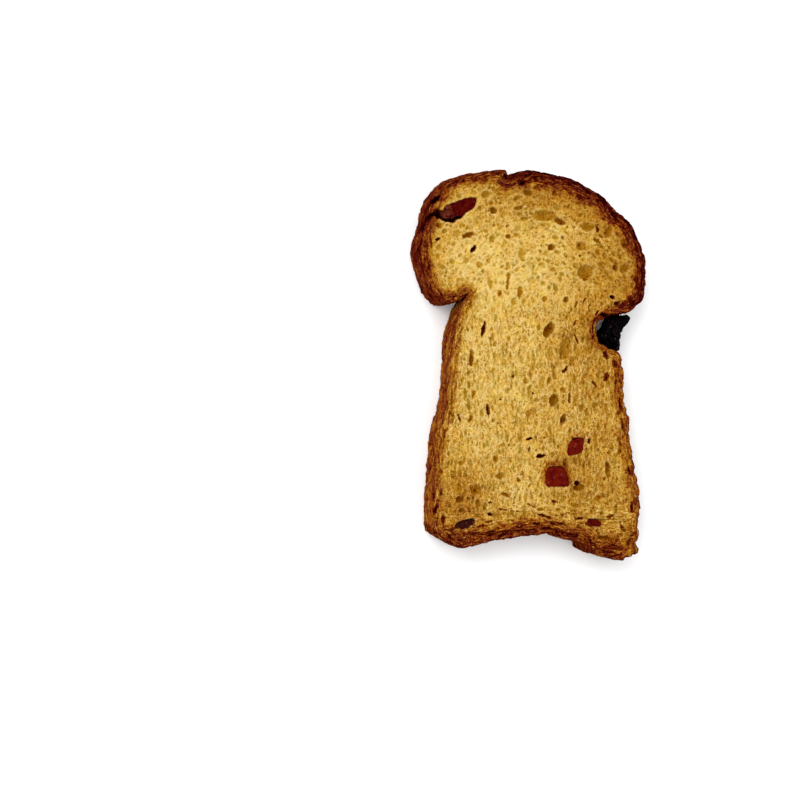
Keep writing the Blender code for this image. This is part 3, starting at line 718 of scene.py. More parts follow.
# %% Rows of the crust
RIM_ROUND = 0.4          # the radius of the rubbed edges
CRUST_CRAG = 0.50        # how much deeper a hollow lies than a crag
CRAG_LENGTH = 4.2
SKIN_DEPTH = 0.26        # the depth of the wrinkles
CRUST_OUT = 0.24         # as far as the crags stand out beyond the outline
EDGE_ROWS = np.array([0.0, 0.1, 0.3])            # close together where an edge is round
WALL_FROM = 0.8          # and evenly spaced between this height
WALL_ROWS = 10           # and as far below the front
row_levels = np.r_[EDGE_ROWS, np.linspace(WALL_FROM, THICKNESS - WALL_FROM, WALL_ROWS),
                   THICKNESS - EDGE_ROWS[::-1]]
ROWS = len(row_levels)


def rubbed(z):
    """How far a row is drawn in by the rounding of the edges."""
    up = RIM_ROUND - min(z, THICKNESS - z, RIM_ROUND)
    return RIM_ROUND - math.sqrt(RIM_ROUND ** 2 - up ** 2)


def craggy(z):
    """How far the crust is hollowed at every point of the outline, at one height."""
    at = np.c_[outline, np.full(COUNT, z)]
    rough = [0.65 * noise.noise(Vector(p) / CRAG_LENGTH)
             + 0.35 * noise.noise(Vector(p) / CRAG_LENGTH * 2.3) for p in at.tolist()]
    crag = CRUST_CRAG * np.clip(0.45 + 0.8 * np.array(rough), 0, 1)
    skin = np.abs(lumps(at * (1, 1, 0.6), 1.5, 31)) + 0.5 * np.abs(lumps(at, 0.7, 32))
    crumbled = np.clip(lumps(at * (1, 1, 0.7), 1.7, 33) + 0.6 * lumps(at, 0.8, 34), 0, 0.7)
    wrinkle = SKIN_DEPTH * (1 - np.minimum(1, 2.6 * skin))
    return crag + wrinkle + ragged * crumbled - CRUST_OUT


offsets = np.array([rubbed(z) + craggy(z) for z in row_levels])
print(ROWS, "rows of crust, moved in by up to", round(offsets.max(), 2), "mm")

# %% [markdown]
# ## One closed slice
#
# Each face joins the end row of the crust: the points of that row are its
# border, and a Delaunay triangulation joins them to the points inside. It
# gives the fattest triangles that fit, so pores keep their form. The front has
# a point about every third of a millimetre, close to what one pixel of the
# picture covers, and the back a little fewer.

# %% Front and back
FRONT_STEP = 0.33        # millimetres between two points of a face
BACK_STEP = 0.47
BORDER_GAP = 0.55        # no point lies closer to the border than this share of a step
INSIDE_ONLY = 1          # the triangulation leaves out what lies outside the border
MERGE = 1e-6             # points closer than this would be one


def ring_offset(ring):
    """How far each point of a ring lies inside the outline."""
    return ((ring - outline) * inward).sum(axis=1)


def cut_face(step, ring, eyes, pores, seed, with_fruit):
    """A face inside its border ring: its points, depths, facts and triangles."""
    rng = np.random.default_rng(seed)
    points = grid(step, rng)
    edge, nearest, inside = from_crust(points)
    keep = inside & (edge > ring_offset(ring)[nearest] + BORDER_GAP * step)
    points = np.vstack([ring, points[keep]])
    border = [(i, (i + 1) % COUNT) for i in range(COUNT)]
    made = delaunay_2d_cdt([Vector(p) for p in points.tolist()], border, [], INSIDE_ONLY, MERGE)
    source = [found[0] for found in made[3]]
    triangles = np.array([[source[i] for i in t] for t in made[2] if len(t) == 3])
    used = np.unique(triangles)          # a point just outside a crumbled edge drops out
    triangles = np.searchsorted(used, triangles)
    edge, nearest, _ = from_crust(points[used])
    face = Face(points[used], edge, nearest)
    depth, facts = relief(face, eyes, pores, with_fruit)
    facts["brown"] = face_browning(face, facts, not with_fruit)
    return face, depth, facts, triangles


front_ring = outline + inward * offsets[-1][:, None]
back_ring = outline + inward * offsets[0][:, None]
front, front_depth, front_facts, front_tris = cut_face(
    FRONT_STEP, front_ring, EYES, front_pores, 41, True)
back, back_depth, back_facts, back_tris = cut_face(
    BACK_STEP, back_ring, (), back_pores, 42, False)
print("front", len(front_tris), "triangles, back", len(back_tris))

# %% [markdown]
# ## Putting the slice together
#
# The two faces and the crust share their border points, so the slice is one
# closed skin. The crust's rows are stretched between the true heights of the
# two borders. At the end the whole is fitted to the box of its solid. That
# moves it very little, as the printed figure shows, and nothing stands out.

# %% Points and triangles of the slice
BACK_DEEPEST = 0.4       # the deepest that the back goes, as a share of the thickness


def fitted(points, node):
    """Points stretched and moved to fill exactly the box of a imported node."""
    low, high = box_mm(node)
    least, most = points.min(axis=0), points.max(axis=0)
    return low + (points - least) / (most - least) * (high - low)


front_z = THICKNESS - front_depth
back_z = np.minimum(back_depth, BACK_DEEPEST * THICKNESS)
wall = []
for row_level, offset in list(zip(row_levels, offsets))[1:-1]:
    z = back_z[:COUNT] + row_level / THICKNESS * (front_z[:COUNT] - back_z[:COUNT])
    wall.append(np.c_[outline + inward * offset[:, None], z])
points = np.vstack([np.c_[front.points, front_z], np.c_[back.points, back_z], *wall])
FRONT_COUNT = len(front.points)
FACE_COUNT = FRONT_COUNT + len(back.points)
# Which point each row of the crust starts at: the first is the back's, the last the front's
row_start = [FRONT_COUNT, *(FACE_COUNT + k * COUNT for k in range(ROWS - 2)), 0]
here = np.arange(COUNT)
after = (here + 1) % COUNT
side_tris = np.vstack([
    np.vstack([np.c_[low + here, high + here, high + after],
               np.c_[low + here, high + after, low + after]])
    for low, high in zip(row_start, row_start[1:])])
triangles = np.vstack([front_tris, back_tris[:, ::-1] + FRONT_COUNT, side_tris])
slice_points = fitted(points, "rusk_slice")
print("the slice has", len(triangles), "triangles")
print("fitting moved it by up to", round(np.abs(slice_points - points).max(), 2), "mm")

# %% [markdown]
# ## A flat map of the slice
#
# The exported model keeps its colours in a picture, and a picture needs a flat
# map. The two faces lie side by side in it, and the crust is unrolled in three
# strips above them, all at one scale. Blender could unwrap the mesh by itself,
# but it would cut so rough a skin into hundreds of scraps.

# %% The flat map
MAP_SIZE = 142.0         # all these are millimetres of bread
MAP_MARGIN = 0.4
BACK_LEFT = 67.5         # how far to the right of the front the back lies
STRIP_FOOT = 108.0       # how far up the lowest strip of crust lies
STRIP_HEIGHT = 10.8
STRIPS = 3

corner = outline.min(axis=0) - MAP_MARGIN
strip_length = along_end / STRIPS
strip = np.minimum(along // strip_length, STRIPS - 1)
left = along - strip * strip_length
right = left + spans
side_uv = []
for low, high in zip(row_levels, row_levels[1:]):
    foot = STRIP_FOOT + strip * STRIP_HEIGHT + low
    head = foot + high - low
    side_uv.append(np.stack([np.c_[left, foot], np.c_[left, head], np.c_[right, head]], axis=1))
    side_uv.append(np.stack([np.c_[left, foot], np.c_[right, head], np.c_[right, foot]], axis=1))
flat_map = np.vstack([
    front.points[front_tris.ravel()] - corner,
    back.points[back_tris[:, ::-1].ravel()] - corner + (BACK_LEFT, 0),
    np.vstack(side_uv).reshape(-1, 2)]) / MAP_SIZE
print("the map spans", np.round(flat_map.min(axis=0), 3), "to", np.round(flat_map.max(axis=0), 3))

# %% [markdown]
# ## What the finish reads
#
# The finish needs more than the form: browning, how far into a pore a point
# lies, and whether it is a ridge or a hollow. The last is found by smoothing
# the skin a few times and seeing which points stood above the result. Hollows
# and pores get painted shade from these, and ridges are painted lighter, partly
# because thin walls between pores dry palest and partly as painted light. The
# finish also asks whether a point is in the cap or the base, on the skin of the
# loaf, or where the crumb is pressed into layers, and how far it lies from the
# crust and round it, because the layers follow that. All these are stored on
# the points, where the shader reads them by name.

# %% Mesh helpers
def new_mesh(name, points, triangles):
    """A shaded triangle mesh from points in millimetres."""
    mesh = bpy.data.meshes.new(name)
    mesh.vertices.add(len(points))
    mesh.vertices.foreach_set("co", (points * MM).astype(np.float32).ravel())
    mesh.loops.add(triangles.size)
    mesh.loops.foreach_set("vertex_index", triangles.astype(np.int32).ravel())
    mesh.polygons.add(len(triangles))
    mesh.polygons.foreach_set("loop_start", np.arange(0, triangles.size, 3, dtype=np.int32))
    mesh.update(calc_edges=True)
    mesh.shade_smooth()
    return mesh


def stored(mesh, name, values):
    """Keep one number per point, for the shader."""
    layer = mesh.attributes.new(name, "FLOAT", "POINT")
    layer.data.foreach_set("value", np.asarray(values, np.float32))


def standing(mesh, rounds):
    """How far each point stands above the smoothed skin, in millimetres."""
    count = len(mesh.vertices)
    edges = np.zeros(len(mesh.edges) * 2, np.int32)
    mesh.edges.foreach_get("vertices", edges)
    a, b = edges.reshape(-1, 2).T
    flat = np.zeros(count * 3, np.float32)
    mesh.vertices.foreach_get("co", flat)
    start = flat.reshape(-1, 3).astype(float) / MM
    facing = np.zeros(count * 3, np.float32)
    mesh.vertex_normals.foreach_get("vector", facing)
    friends = np.bincount(a, minlength=count) + np.bincount(b, minlength=count)
    now = start.copy()
    for _ in range(rounds):
        pulled = [np.bincount(a, now[b, k], count) + np.bincount(b, now[a, k], count)
                  for k in range(3)]
        now = 0.5 * now + 0.5 * np.array(pulled).T / friends[:, None]
    return ((start - now) * facing.reshape(-1, 3)).sum(axis=1)


# %% The slice as a mesh
SMOOTHINGS = 5

slice_mesh = new_mesh("rusk", slice_points, triangles)
slice_map = slice_mesh.uv_layers.new(name="OFBake")
slice_map.data.foreach_set("uv", flat_map.astype(np.float32).ravel())
ridge = standing(slice_mesh, SMOOTHINGS)
print("ridges up to", round(ridge.max(), 2), "mm, hollows down to", round(ridge.min(), 2))

# %% How brown the crust is
# Burnt places: where on the outline, how wide, and how much darker
WALL_BURNS = ((-31.4, 37.2, 1.5, 0.34), (-31.0, 41.0, 2.0, 0.22), (-32.6, 31.0, 2.4, 0.14))
BURN_FOOT = 2.0          # these burns start this high above the back
BURN_FULL = 8.0          # and are strongest from here up

crag_depth = np.array([craggy(z) for z in row_levels])[1:-1].ravel()
on_wall = np.c_[np.tile(along, ROWS - 2), np.repeat(row_levels[1:-1], COUNT)]
wall_brown = np.tile(outside_brown, ROWS - 2) + 0.16 * lumps(on_wall, 3.2, 52)
wall_brown += 0.18 * lumps(on_wall / (3.0, 0.7), 1.0, 51)
# Darker where the crust is hollowed between crags: painted shade
wall_brown += 0.16 * ((crag_depth + CRUST_OUT) / CRUST_CRAG - 0.45)
wall_brown += CRACK_BROWN * cracks(on_wall[:, 1], on_wall[:, 0], 1.1, 5.0, 53)
for x, y, wide, amount in WALL_BURNS:
    away = np.hypot(*(outline - (x, y)).T)
    burn = amount * np.tile(np.exp(-(away / wide) ** 2), ROWS - 2)
    wall_brown += burn * smooth(on_wall[:, 1], BURN_FOOT, BURN_FULL)
print("the crust is", round(wall_brown.mean(), 2), "brown on average")

# %% Facts for the finish
CRUST_LAYERED = 0.8      # how plainly the layers show on the crust itself

bare = np.zeros(len(wall_brown))
stored(slice_mesh, "brown", np.r_[front_facts["brown"], back_facts["brown"], wall_brown])
stored(slice_mesh, "pit", np.r_[front_facts["pit"], back_facts["pit"], bare])
stored(slice_mesh, "ridge", ridge)
stored(slice_mesh, "skin", np.r_[np.zeros(FACE_COUNT), bare + 1])
stored(slice_mesh, "across", np.r_[front.edge, back.edge, on_wall[:, 1]])
stored(slice_mesh, "ring", np.r_[along[front.nearest], along[back.nearest], on_wall[:, 0]])
layered = [1 - smooth(face.edge / brown_reach[face.nearest], 0.7, 1.6) for face in (front, back)]
stored(slice_mesh, "layered", np.r_[layered[0], layered[1], bare + CRUST_LAYERED])
stored(slice_mesh, "cap", in_cap(slice_points[:, 1]))
stored(slice_mesh, "base", 1 - smooth(slice_points[:, 1], BASE_TOP - 3, BASE_TOP + 5))
print("facts on each point:", sorted(slice_mesh.attributes.keys()))

# %% [markdown]
# ## Shader maths
#
# A finish is a sum of many small effects, and a node for each sum is hard to
# read. So an output of a node is wrapped in a small class, and Python's own
# signs add the Math nodes. Each sign has a second form for a plain number on
# its left, so 1 - mask works as it does on paper.

# %% A socket that can be reckoned with
class Value:
    """One output of a node. Reckoning with it adds Math nodes."""

    def __init__(self, finish, socket):
        self.finish = finish
        self.socket = socket

    def maths(self, kind, *terms):
        """A Math node of one kind."""
        return self.finish.node("ShaderNodeMath", {"operation": kind}, *terms)

    def __add__(self, other):
        return self.maths("ADD", self, other)

    def __sub__(self, other):
        return self.maths("SUBTRACT", self, other)

    def __rsub__(self, other):
        return self.maths("SUBTRACT", other, self)

    def __mul__(self, other):
        return self.maths("MULTIPLY", self, other)

    def __truediv__(self, other):
        return self.maths("DIVIDE", self, other)

    def __rtruediv__(self, other):
        return self.maths("DIVIDE", other, self)

    def __abs__(self):
        return self.maths("ABSOLUTE", self)

    __radd__ = __add__
    __rmul__ = __mul__

    def between(self, low, high):
        """0 below low, 1 above high, and an even rise from one to the other."""
        return self.finish.node("ShaderNodeMapRange", {"clamp": True}, self, low, high, 0.0, 1.0)

    def lines(self, middle, thin):
        """1 where the value passes the middle, as a contour on a map, and 0 elsewhere."""
        return (1 - abs(self - middle) * thin).between(0.0, 1.0)


# %% [markdown]
# ## Nodes and patterns
#
# Any other node comes from one method, which is told its type, its settings
# and what its sockets get. The patterns that bread and fruit are made of have
# methods of their own, named after what they look like: clouds of noise, cut
# bubbles side by side, pinholes. A pattern is drawn out by squeezing the place
# that it is asked for, and loses its straightness when that place is bent by
# noise. They are solid patterns, which run through the bread as real bubbles
# do, so no seam shows where a face meets the crust.

# %% Finishes
class Finish:
    """A material with one Principled shader, built node by node."""

    def __init__(self, name, **constants):
        self.material = bpy.data.materials.new(name)
        self.material.use_nodes = True
        self.tree = self.material.node_tree
        self.shader = self.tree.nodes["Principled BSDF"]
        for socket, value in constants.items():
            self.shader.inputs[socket.replace("_", " ")].default_value = value

    def fill(self, socket, value):
        """Join a value to a socket, or set the socket to a plain number or tuple."""
        if isinstance(value, Value):
            self.tree.links.new(value.socket, socket)
        elif socket.type == "RGBA":
            socket.default_value = (*value, 1.0)
        else:
            socket.default_value = value

    def node(self, kind, settings, *values, out=0, **named):
        """Add a node; values fill its sockets in order, and named ones by name."""
        made = self.tree.nodes.new(kind)
        for name, value in settings.items():
            setattr(made, name, value)
        free = [socket for socket in made.inputs if socket.enabled]
        for socket, value in zip(free, values):
            self.fill(socket, value)
        for name, value in named.items():
            self.fill(next(s for s in free if s.name == name), value)
        outputs = [socket for socket in made.outputs if socket.enabled]
        if isinstance(out, str):
            return Value(self, next(s for s in outputs if s.name == out))
        return Value(self, outputs[out])

    def fact(self, name):
        """A number stored on the points."""
        return self.node("ShaderNodeAttribute", {"attribute_name": name}, out="Fac")

    def place(self):
        """Where a point lies on the object, in millimetres."""
        at = self.node("ShaderNodeTexCoord", {}, out="Object")
        return self.node("ShaderNodeVectorMath", {"operation": "SCALE"}, at, Scale=1 / MM)

    def noise(self, at, size, detail=2.0, rough=0.5):
        """Cloudy noise from 0 to 1 with lumps of the given size."""
        return self.node("ShaderNodeTexNoise", {}, at, Scale=1 / size, Detail=detail,
                         Roughness=rough)

    def cells(self, at, size, feature="F1"):
        """The distance to the nearest of many scattered points, as bubbles lie."""
        return self.node("ShaderNodeTexVoronoi", {"feature": feature}, at, Scale=1 / size,
                         out="Distance")

    def vector(self, how, first, second):
        """Vector maths on two vectors."""
        return self.node("ShaderNodeVectorMath", {"operation": how}, first, second)

    def drawn_out(self, at, across, up):
        """The place, squeezed by these shares so that patterns come out longer that way."""
        return self.vector("MULTIPLY", at, (across, up, 1.0))

    def bent(self, at, size, amount):
        """The place, shifted to and fro by noise, so that patterns lose their straightness."""
        cloud = self.node("ShaderNodeTexNoise", {}, at, Scale=1 / size, out="Color")
        shift = self.vector("SUBTRACT", cloud, (0.5, 0.5, 0.5))
        return self.vector("ADD", at, self.vector("MULTIPLY", shift, (amount,) * 3))

    def sponge(self, at, size):
        """Cut bubbles side by side: the walls between them, and how deep each is."""
        gap = self.cells(at, size, "DISTANCE_TO_EDGE")
        own = self.node("ShaderNodeTexVoronoi", {}, at, Scale=1 / size, out="Color")
        tone = self.node("ShaderNodeSeparateColor", {}, own, out="Red")
        return 1 - gap.between(0.02, 0.16), gap.between(0.05, 0.32) * tone * tone

    def pinholes(self, at, size):
        """Tiny holes, painted dark as the shade in them, in about one cell of three."""
        near = self.cells(at, size)
        own = self.node("ShaderNodeTexVoronoi", {}, at, Scale=1 / size, out="Color")
        chosen = self.node("ShaderNodeSeparateColor", {}, own, out="Green")
        return (1 - near * 4.0).between(0.0, 0.4) * chosen.between(0.6, 0.7)

    def mix(self, share, first, second, how="MIX"):
        """Two colours mixed, or blended as the mode says."""
        return self.node("ShaderNodeMix", {"data_type": "RGBA", "blend_type": how},
                         share, first, second)

    def ramp(self, share, stops):
        """A colour that changes through the stops."""
        made = self.node("ShaderNodeValToRGB", {}, share)
        band = made.socket.node.color_ramp
        while len(band.elements) < len(stops):
            band.elements.new(1.0)
        for element, (position, colour) in zip(band.elements, stops):
            element.position = position
            element.color = (*colour, 1.0)
        return made

    def wear(self, colour, rough, height, distance):
        """Give the shader its colour, its roughness and its finest relief."""
        self.fill(self.shader.inputs["Base Color"], colour)
        self.fill(self.shader.inputs["Roughness"], rough)
        bump = self.node("ShaderNodeBump", {}, Strength=1.0, Distance=distance * MM,
                         Height=height)
        self.fill(self.shader.inputs["Normal"], bump)
        return self.material


# %% [markdown]
# ## Colours as they are seen
#
# It is easiest to say how a colour looks on a screen, from 0 to 255. A screen
# shows light on a curve, and a shader reckons with plain amounts of light, so
# the curve is taken out first. The light is set bright enough to turn the pale
# floor white, and every other surface is made darker by as much.

# %% Colours
BRIGHTNESS = 1.30        # of the light, so a surface is this much darker than it looks


def linear(red, green, blue):
    """The surface's own colour, from how it looks on a screen."""
    seen = [c / 255 / 12.92 if c <= 10 else ((c / 255 + 0.055) / 1.055) ** 2.4
            for c in (red, green, blue)]
    return tuple(light / BRIGHTNESS for light in seen)


# %% [markdown]
# ## The finish of the bread: bubbles
#
# Between the pores that the mesh holds, the crumb is a sponge of bubbles under
# a millimetre or two wide. Modelling them would take millions of triangles, so
# the shader makes them, from cells that lie side by side as bubbles do: their
# walls, and how deep each is. They are round in the cap and tall below it, in
# two sizes, with a pinhole here and there. They fade out on the crust, in the
# pressed layers beside it and in the pores.

# %% Bubbles
crumb = Finish("toasted_crumb", Specular_IOR_Level=0.0)
at = crumb.place()
round_at = crumb.bent(at, 1.4, 0.9)
tall_at = crumb.drawn_out(round_at, 1.0, 0.36)
cap = crumb.fact("cap")
skin = crumb.fact("skin")
layered = crumb.fact("layered")
in_pore = crumb.fact("pit")
open_crumb = (1 - skin) * (1 - layered * 0.7) * (1 - in_pore * 0.6)
walls = []
holes = []
for size in (1.5, 0.75):
    round_wall, round_hole = crumb.sponge(round_at, size)
    tall_wall, tall_hole = crumb.sponge(tall_at, size * 0.8)
    walls.append(round_wall * cap + tall_wall * (1 - cap))
    holes.append(round_hole * cap + tall_hole * (1 - cap))
wall = (walls[0] * 0.6 + walls[1] * 0.5) * open_crumb
hole = (holes[0] * 0.9 + holes[1] * 0.6) * open_crumb
pins = crumb.pinholes(round_at, 1.0) * open_crumb
print("bubbles:", len(crumb.tree.nodes), "nodes so far")

# %% [markdown]
# ## The finish of the bread: grain, strands and layers
#
# Broken crumb is gritty, and its walls are torn into strands. These run up the
# body of the slice and across its base, as the dough was stretched. A net of
# pale threads lies over the crumb, and where dough was pressed against the
# tin it is in thin layers along the crust. Each of these is noise of its own
# size, drawn out its own way. The layers follow the crust, so they are asked
# for by the distance from it and round it and not by the place.

# %% Grain, strands and layers
base = crumb.fact("base")
upright = (1 - cap) * (1 - base) * open_crumb
speck = crumb.noise(at, 0.45, 3.0, 0.6)
cloud = crumb.noise(at, 2.2, 3.0, 0.6)
grit = crumb.noise(at, 0.27, 2.0, 0.7)
busy = crumb.noise(at, 3.4, 2.0).between(0.3, 0.7) + 0.5     # where there is more grit
strands = crumb.noise(crumb.drawn_out(crumb.bent(at, 3.0, 1.6), 1.0, 0.22), 0.42, 2.0, 0.6)
pressed = crumb.noise(crumb.drawn_out(crumb.bent(at, 2.0, 1.2), 0.24, 1.0), 0.45, 2.0, 0.6)
threads = crumb.noise(crumb.drawn_out(round_at, 1.0, 0.34), 0.24, 1.0)
net = crumb.noise(crumb.drawn_out(round_at, 1.0, 0.5), 0.6, 1.0).lines(0.5, 12.0) * open_crumb
by_crust = crumb.node("ShaderNodeCombineXYZ", {}, crumb.fact("across") / 0.34,
                      crumb.fact("ring") / 3.2)
layers = crumb.noise(by_crust, 1.0, 2.0, 0.6)
print("patterns:", len(crumb.tree.nodes), "nodes so far")

# %% [markdown]
# ## The finish of the bread: how brown it looks
#
# The number for browning comes from the points, and the fine patterns swing it
# up and down: grit and pinholes darker, bubble walls and threads paler. One
# ramp then turns it into colour, so that every pattern stays within the
# colours that real crumb and crust go through, from straw to near black.

# %% Browning and its colours
brown = crumb.fact("brown")
toasted = brown.between(0.22, 0.5)
# Each pattern, and how much browning it adds where it is strong
SWINGS = (
    (speck - 0.5, toasted * 0.6 + 0.16),
    (cloud - 0.5, 0.18),
    (layers - 0.5, layered * 0.82),
    (wall, -0.10),
    (layers.lines(0.52, 16.0), layered * 0.26),
    (strands - 0.5, upright * 0.34),
    (pressed - 0.5, base * 0.85),
    (threads - 0.5, (1 - cap * 0.6) * open_crumb * 0.38),
    (grit - 0.5, (1.02 - cap * 0.60) * busy),
    (net, -0.12),
    # Pinholes: painted shade, added as browning
    (pins, 0.30),
)
level = brown + 0.05
for pattern, amount in SWINGS:
    level = level + pattern * amount
BAKED = (
    (0.00, linear(239, 202, 121)),
    (0.10, linear(220, 177, 88)),
    (0.20, linear(201, 152, 59)),
    (0.30, linear(184, 129, 37)),
    (0.42, linear(165, 104, 27)),
    (0.56, linear(137, 68, 23)),
    (0.70, linear(110, 37, 18)),
    (0.84, linear(80, 11, 8)),
    (1.00, linear(36, 3, 2)),
)
baked = crumb.ramp(level, BAKED)
print(len(BAKED), "steps of browning")

# %% [markdown]
# ## The finish of the bread: painted shade and light, tint and gloss
#
# Pores are painted darker and yellower inside, as shade: light that has been
# through bread twice loses its blue. Shallow bubbles and soft clouds get an
# olive tint, which in the bubbles is painted shade. Ridges between them are
# painted paler, partly because they dried palest and partly as painted light
# where they stand up. Real crumb is never of one tint either: places a few
# millimetres wide are a little rosy, green, milky or golden, which three soft
# clouds of tint give. Dry crumb is dull, and the crust is a little smoother.

# %% Painted shade and light, tints, dullness and relief
# Painted shade: what is left of light deep in a pore, and in a shallow bubble with an olive tint
PAINTED_PORE_SHADE = (0.64, 0.55, 0.13)                    # what is left of light deep in a pore
OLIVE_AND_BUBBLE_SHADE = (0.84, 0.88, 0.74)                       # and of light in a shallow bubble
GREENISH = (0.99, 1.03, 0.98)
ROSY = (1.01, 0.97, 1.02)
GOLDEN = (1.02, 0.97, 0.70)
MILKY = (0.98, 1.04, 1.26)

ridge = crumb.fact("ridge")
# Painted shade: darker deep in pores, bubbles and hollows of the skin, none on ridges
deep = (in_pore * 1.2 + hole * 0.9 + ridge * -1.6).between(0.0, 1.0)
# Ridges and bubble walls painted paler: they dried palest, and the ridges also get painted light
high = (ridge * 4.0 + wall * 0.5).between(0.0, 1.0) * (1 - toasted) * (1 - layered)
# Olive: a tint in soft clouds, and painted shade in the bubbles
olive_and_bubble_shade = (holes[0] * 1.4 + (cloud - 0.5) * 2.0).between(0.1, 0.9) * open_crumb
# The two tints look at the noise elsewhere, so that they don't fall together
rosy = crumb.noise(crumb.vector("ADD", at, (31.0, 0.0, 0.0)), 2.6, 2.0).between(0.3, 0.7)
milky = crumb.noise(crumb.vector("ADD", at, (0.0, 47.0, 0.0)), 2.0, 2.0).between(0.3, 0.7)
colour = crumb.mix(deep, baked, PAINTED_PORE_SHADE, "MULTIPLY")
colour = crumb.mix(olive_and_bubble_shade, colour, OLIVE_AND_BUBBLE_SHADE, "MULTIPLY")
# Cream on the ridges: paler dried walls and painted light
colour = crumb.mix(high * 0.22, colour, linear(246, 214, 142))
colour = crumb.mix(1.0, colour, crumb.mix(rosy, GREENISH, ROSY), "MULTIPLY")
colour = crumb.mix(1.0, colour, crumb.mix(milky, GOLDEN, MILKY), "MULTIPLY")
rough = 0.95 - skin * 0.25
fine = wall * 0.4 - hole * 0.8 - pins + speck * 0.3 + strands * 0.4 - layers * layered * 1.6
crumb_finish = crumb.wear(colour, rough, fine, 0.14)
print("the bread's finish has", len(crumb.tree.nodes), "nodes")

# %% The slice in the scene
def shown(name, mesh, finish, node):
    """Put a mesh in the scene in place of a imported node."""
    mesh.materials.append(finish)
    made = bpy.data.objects.new(name, mesh)
    bpy.context.scene.collection.objects.link(made)
    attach(made, "root")
    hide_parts(node)


shown("rusk", slice_mesh, crumb_finish, "rusk_slice")

# %% [markdown]
# ## Dried fruit
#
# A raisin is a grape that lost its water: the skin stays the same size while
# the inside shrinks, so it folds into deep, sharp creases between round
# ridges. Each piece starts as a ball of triangles, is drawn to its form, and
# is then creased by folded noise, which is noise with its negative half turned
# up. Sculpting would give the same look, but only once, and this gives each
# piece folds of its own from one number. Where the knife cut a piece, its top
# is flat and smooth.

# %% Forms of the fruit
def ball(rounds):
    """Points and triangles of a round ball."""
    data = bmesh.new()
    bmesh.ops.create_icosphere(data, subdivisions=rounds, radius=1.0)
    places = np.array([v.co[:] for v in data.verts])
    faces = np.array([[v.index for v in f.verts] for f in data.faces])
    data.free()
    return places / np.linalg.norm(places, axis=1)[:, None], faces


def creases(places, size, seed):
    """1 at the bottom of a crease, 0 on the ridges."""
    return np.clip(1 - 3.2 * np.abs(lumps(places, size, seed)), 0, 1) ** 1.5


BALL_ROUNDS = 6          # each round splits a triangle of the ball into four
FULLNESS = 5.0           # 2 is a ball's side and higher ones are squarer
CUT_LEFT = 0.12          # the share that stays of what stood above the cut


def set_fruit(name, seed, folds, cut_level):
    """A piece of fruit in its pocket, its top cut level with the slice."""
    fruit = FRUIT[name]
    half_height = fruit.height / 2
    unit, faces = ball(BALL_ROUNDS)
    reach = reach_to(name, np.degrees(np.arctan2(unit[:, 1], unit[:, 0])))
    flat = np.hypot(unit[:, 0], unit[:, 1])
    fill = (flat ** FULLNESS + np.abs(unit[:, 2]) ** FULLNESS) ** (-1 / FULLNESS)
    real = unit * np.c_[reach, reach, np.full(len(unit), half_height)] * fill[:, None]
    turn = math.radians(fruit.turn)
    lengthwise = real[:, 0] * math.cos(turn) + real[:, 1] * math.sin(turn)
    fold = folds(lengthwise) * (creases(real, 2.4, seed) + 0.45 * creases(real, 1.1, seed + 1))
    real *= (1 - fold)[:, None]
    soft = 0.05 * lumps(real, 1.6, seed + 2) + 0.02 * lumps(real, 0.6, seed + 3)
    top = (cut_level(lengthwise) + soft) * half_height
    over = real[:, 2] - top
    real[:, 2] = np.where(over > 0, top + CUT_LEFT * over, real[:, 2])
    mesh = new_mesh(name, fitted(real + (fruit.x, fruit.y, 0), name), faces)
    stored(mesh, "fold", fold)
    stored(mesh, "cut", smooth(real[:, 2] - top, -0.2, 0.0))
    return mesh


NECK_RISE = 4.2          # half the height of the raisin in the neck


def wedged_raisin(name, seed):
    """A whole raisin, which no knife has cut."""
    unit, faces = ball(BALL_ROUNDS)
    reach = reach_to(name, np.degrees(np.arctan2(unit[:, 1], unit[:, 0])))
    real = np.c_[reach * unit[:, 0], reach * unit[:, 1], NECK_RISE * unit[:, 2]]
    fold = 0.17 * creases(real, 3.6, seed) + 0.09 * creases(real, 1.6, seed + 1)
    fold += 0.03 * creases(real, 0.7, seed + 2)
    mesh = new_mesh(name, fitted(real * (1 - fold)[:, None], name), faces)
    stored(mesh, "fold", fold)
    stored(mesh, "cut", np.zeros(len(unit)))
    return mesh


# %% [markdown]
# ## The finish of the fruit
#
# Raisin skin is near black, redder on the ridges between its folds than in
# the creases, and sticky. Candied fruit is boiled in syrup: dark red, clear and
# wet looking. Both are opaque here, since nothing shows through pieces this
# thick, and soft clouds of a cold and a warm tint stand for the depth that
# clear fruit has. A thin coat over a rougher body gives the syrup, and small
# pale spots in the colour are painted highlights.

# %% Raisin skin and candied fruit
COLD = (0.66, 0.30, 2.40)
WARM = (1.34, 3.60, 1.60)
# The colour of the painted highlights
PAINTED_HIGHLIGHT = linear(196, 138, 118)


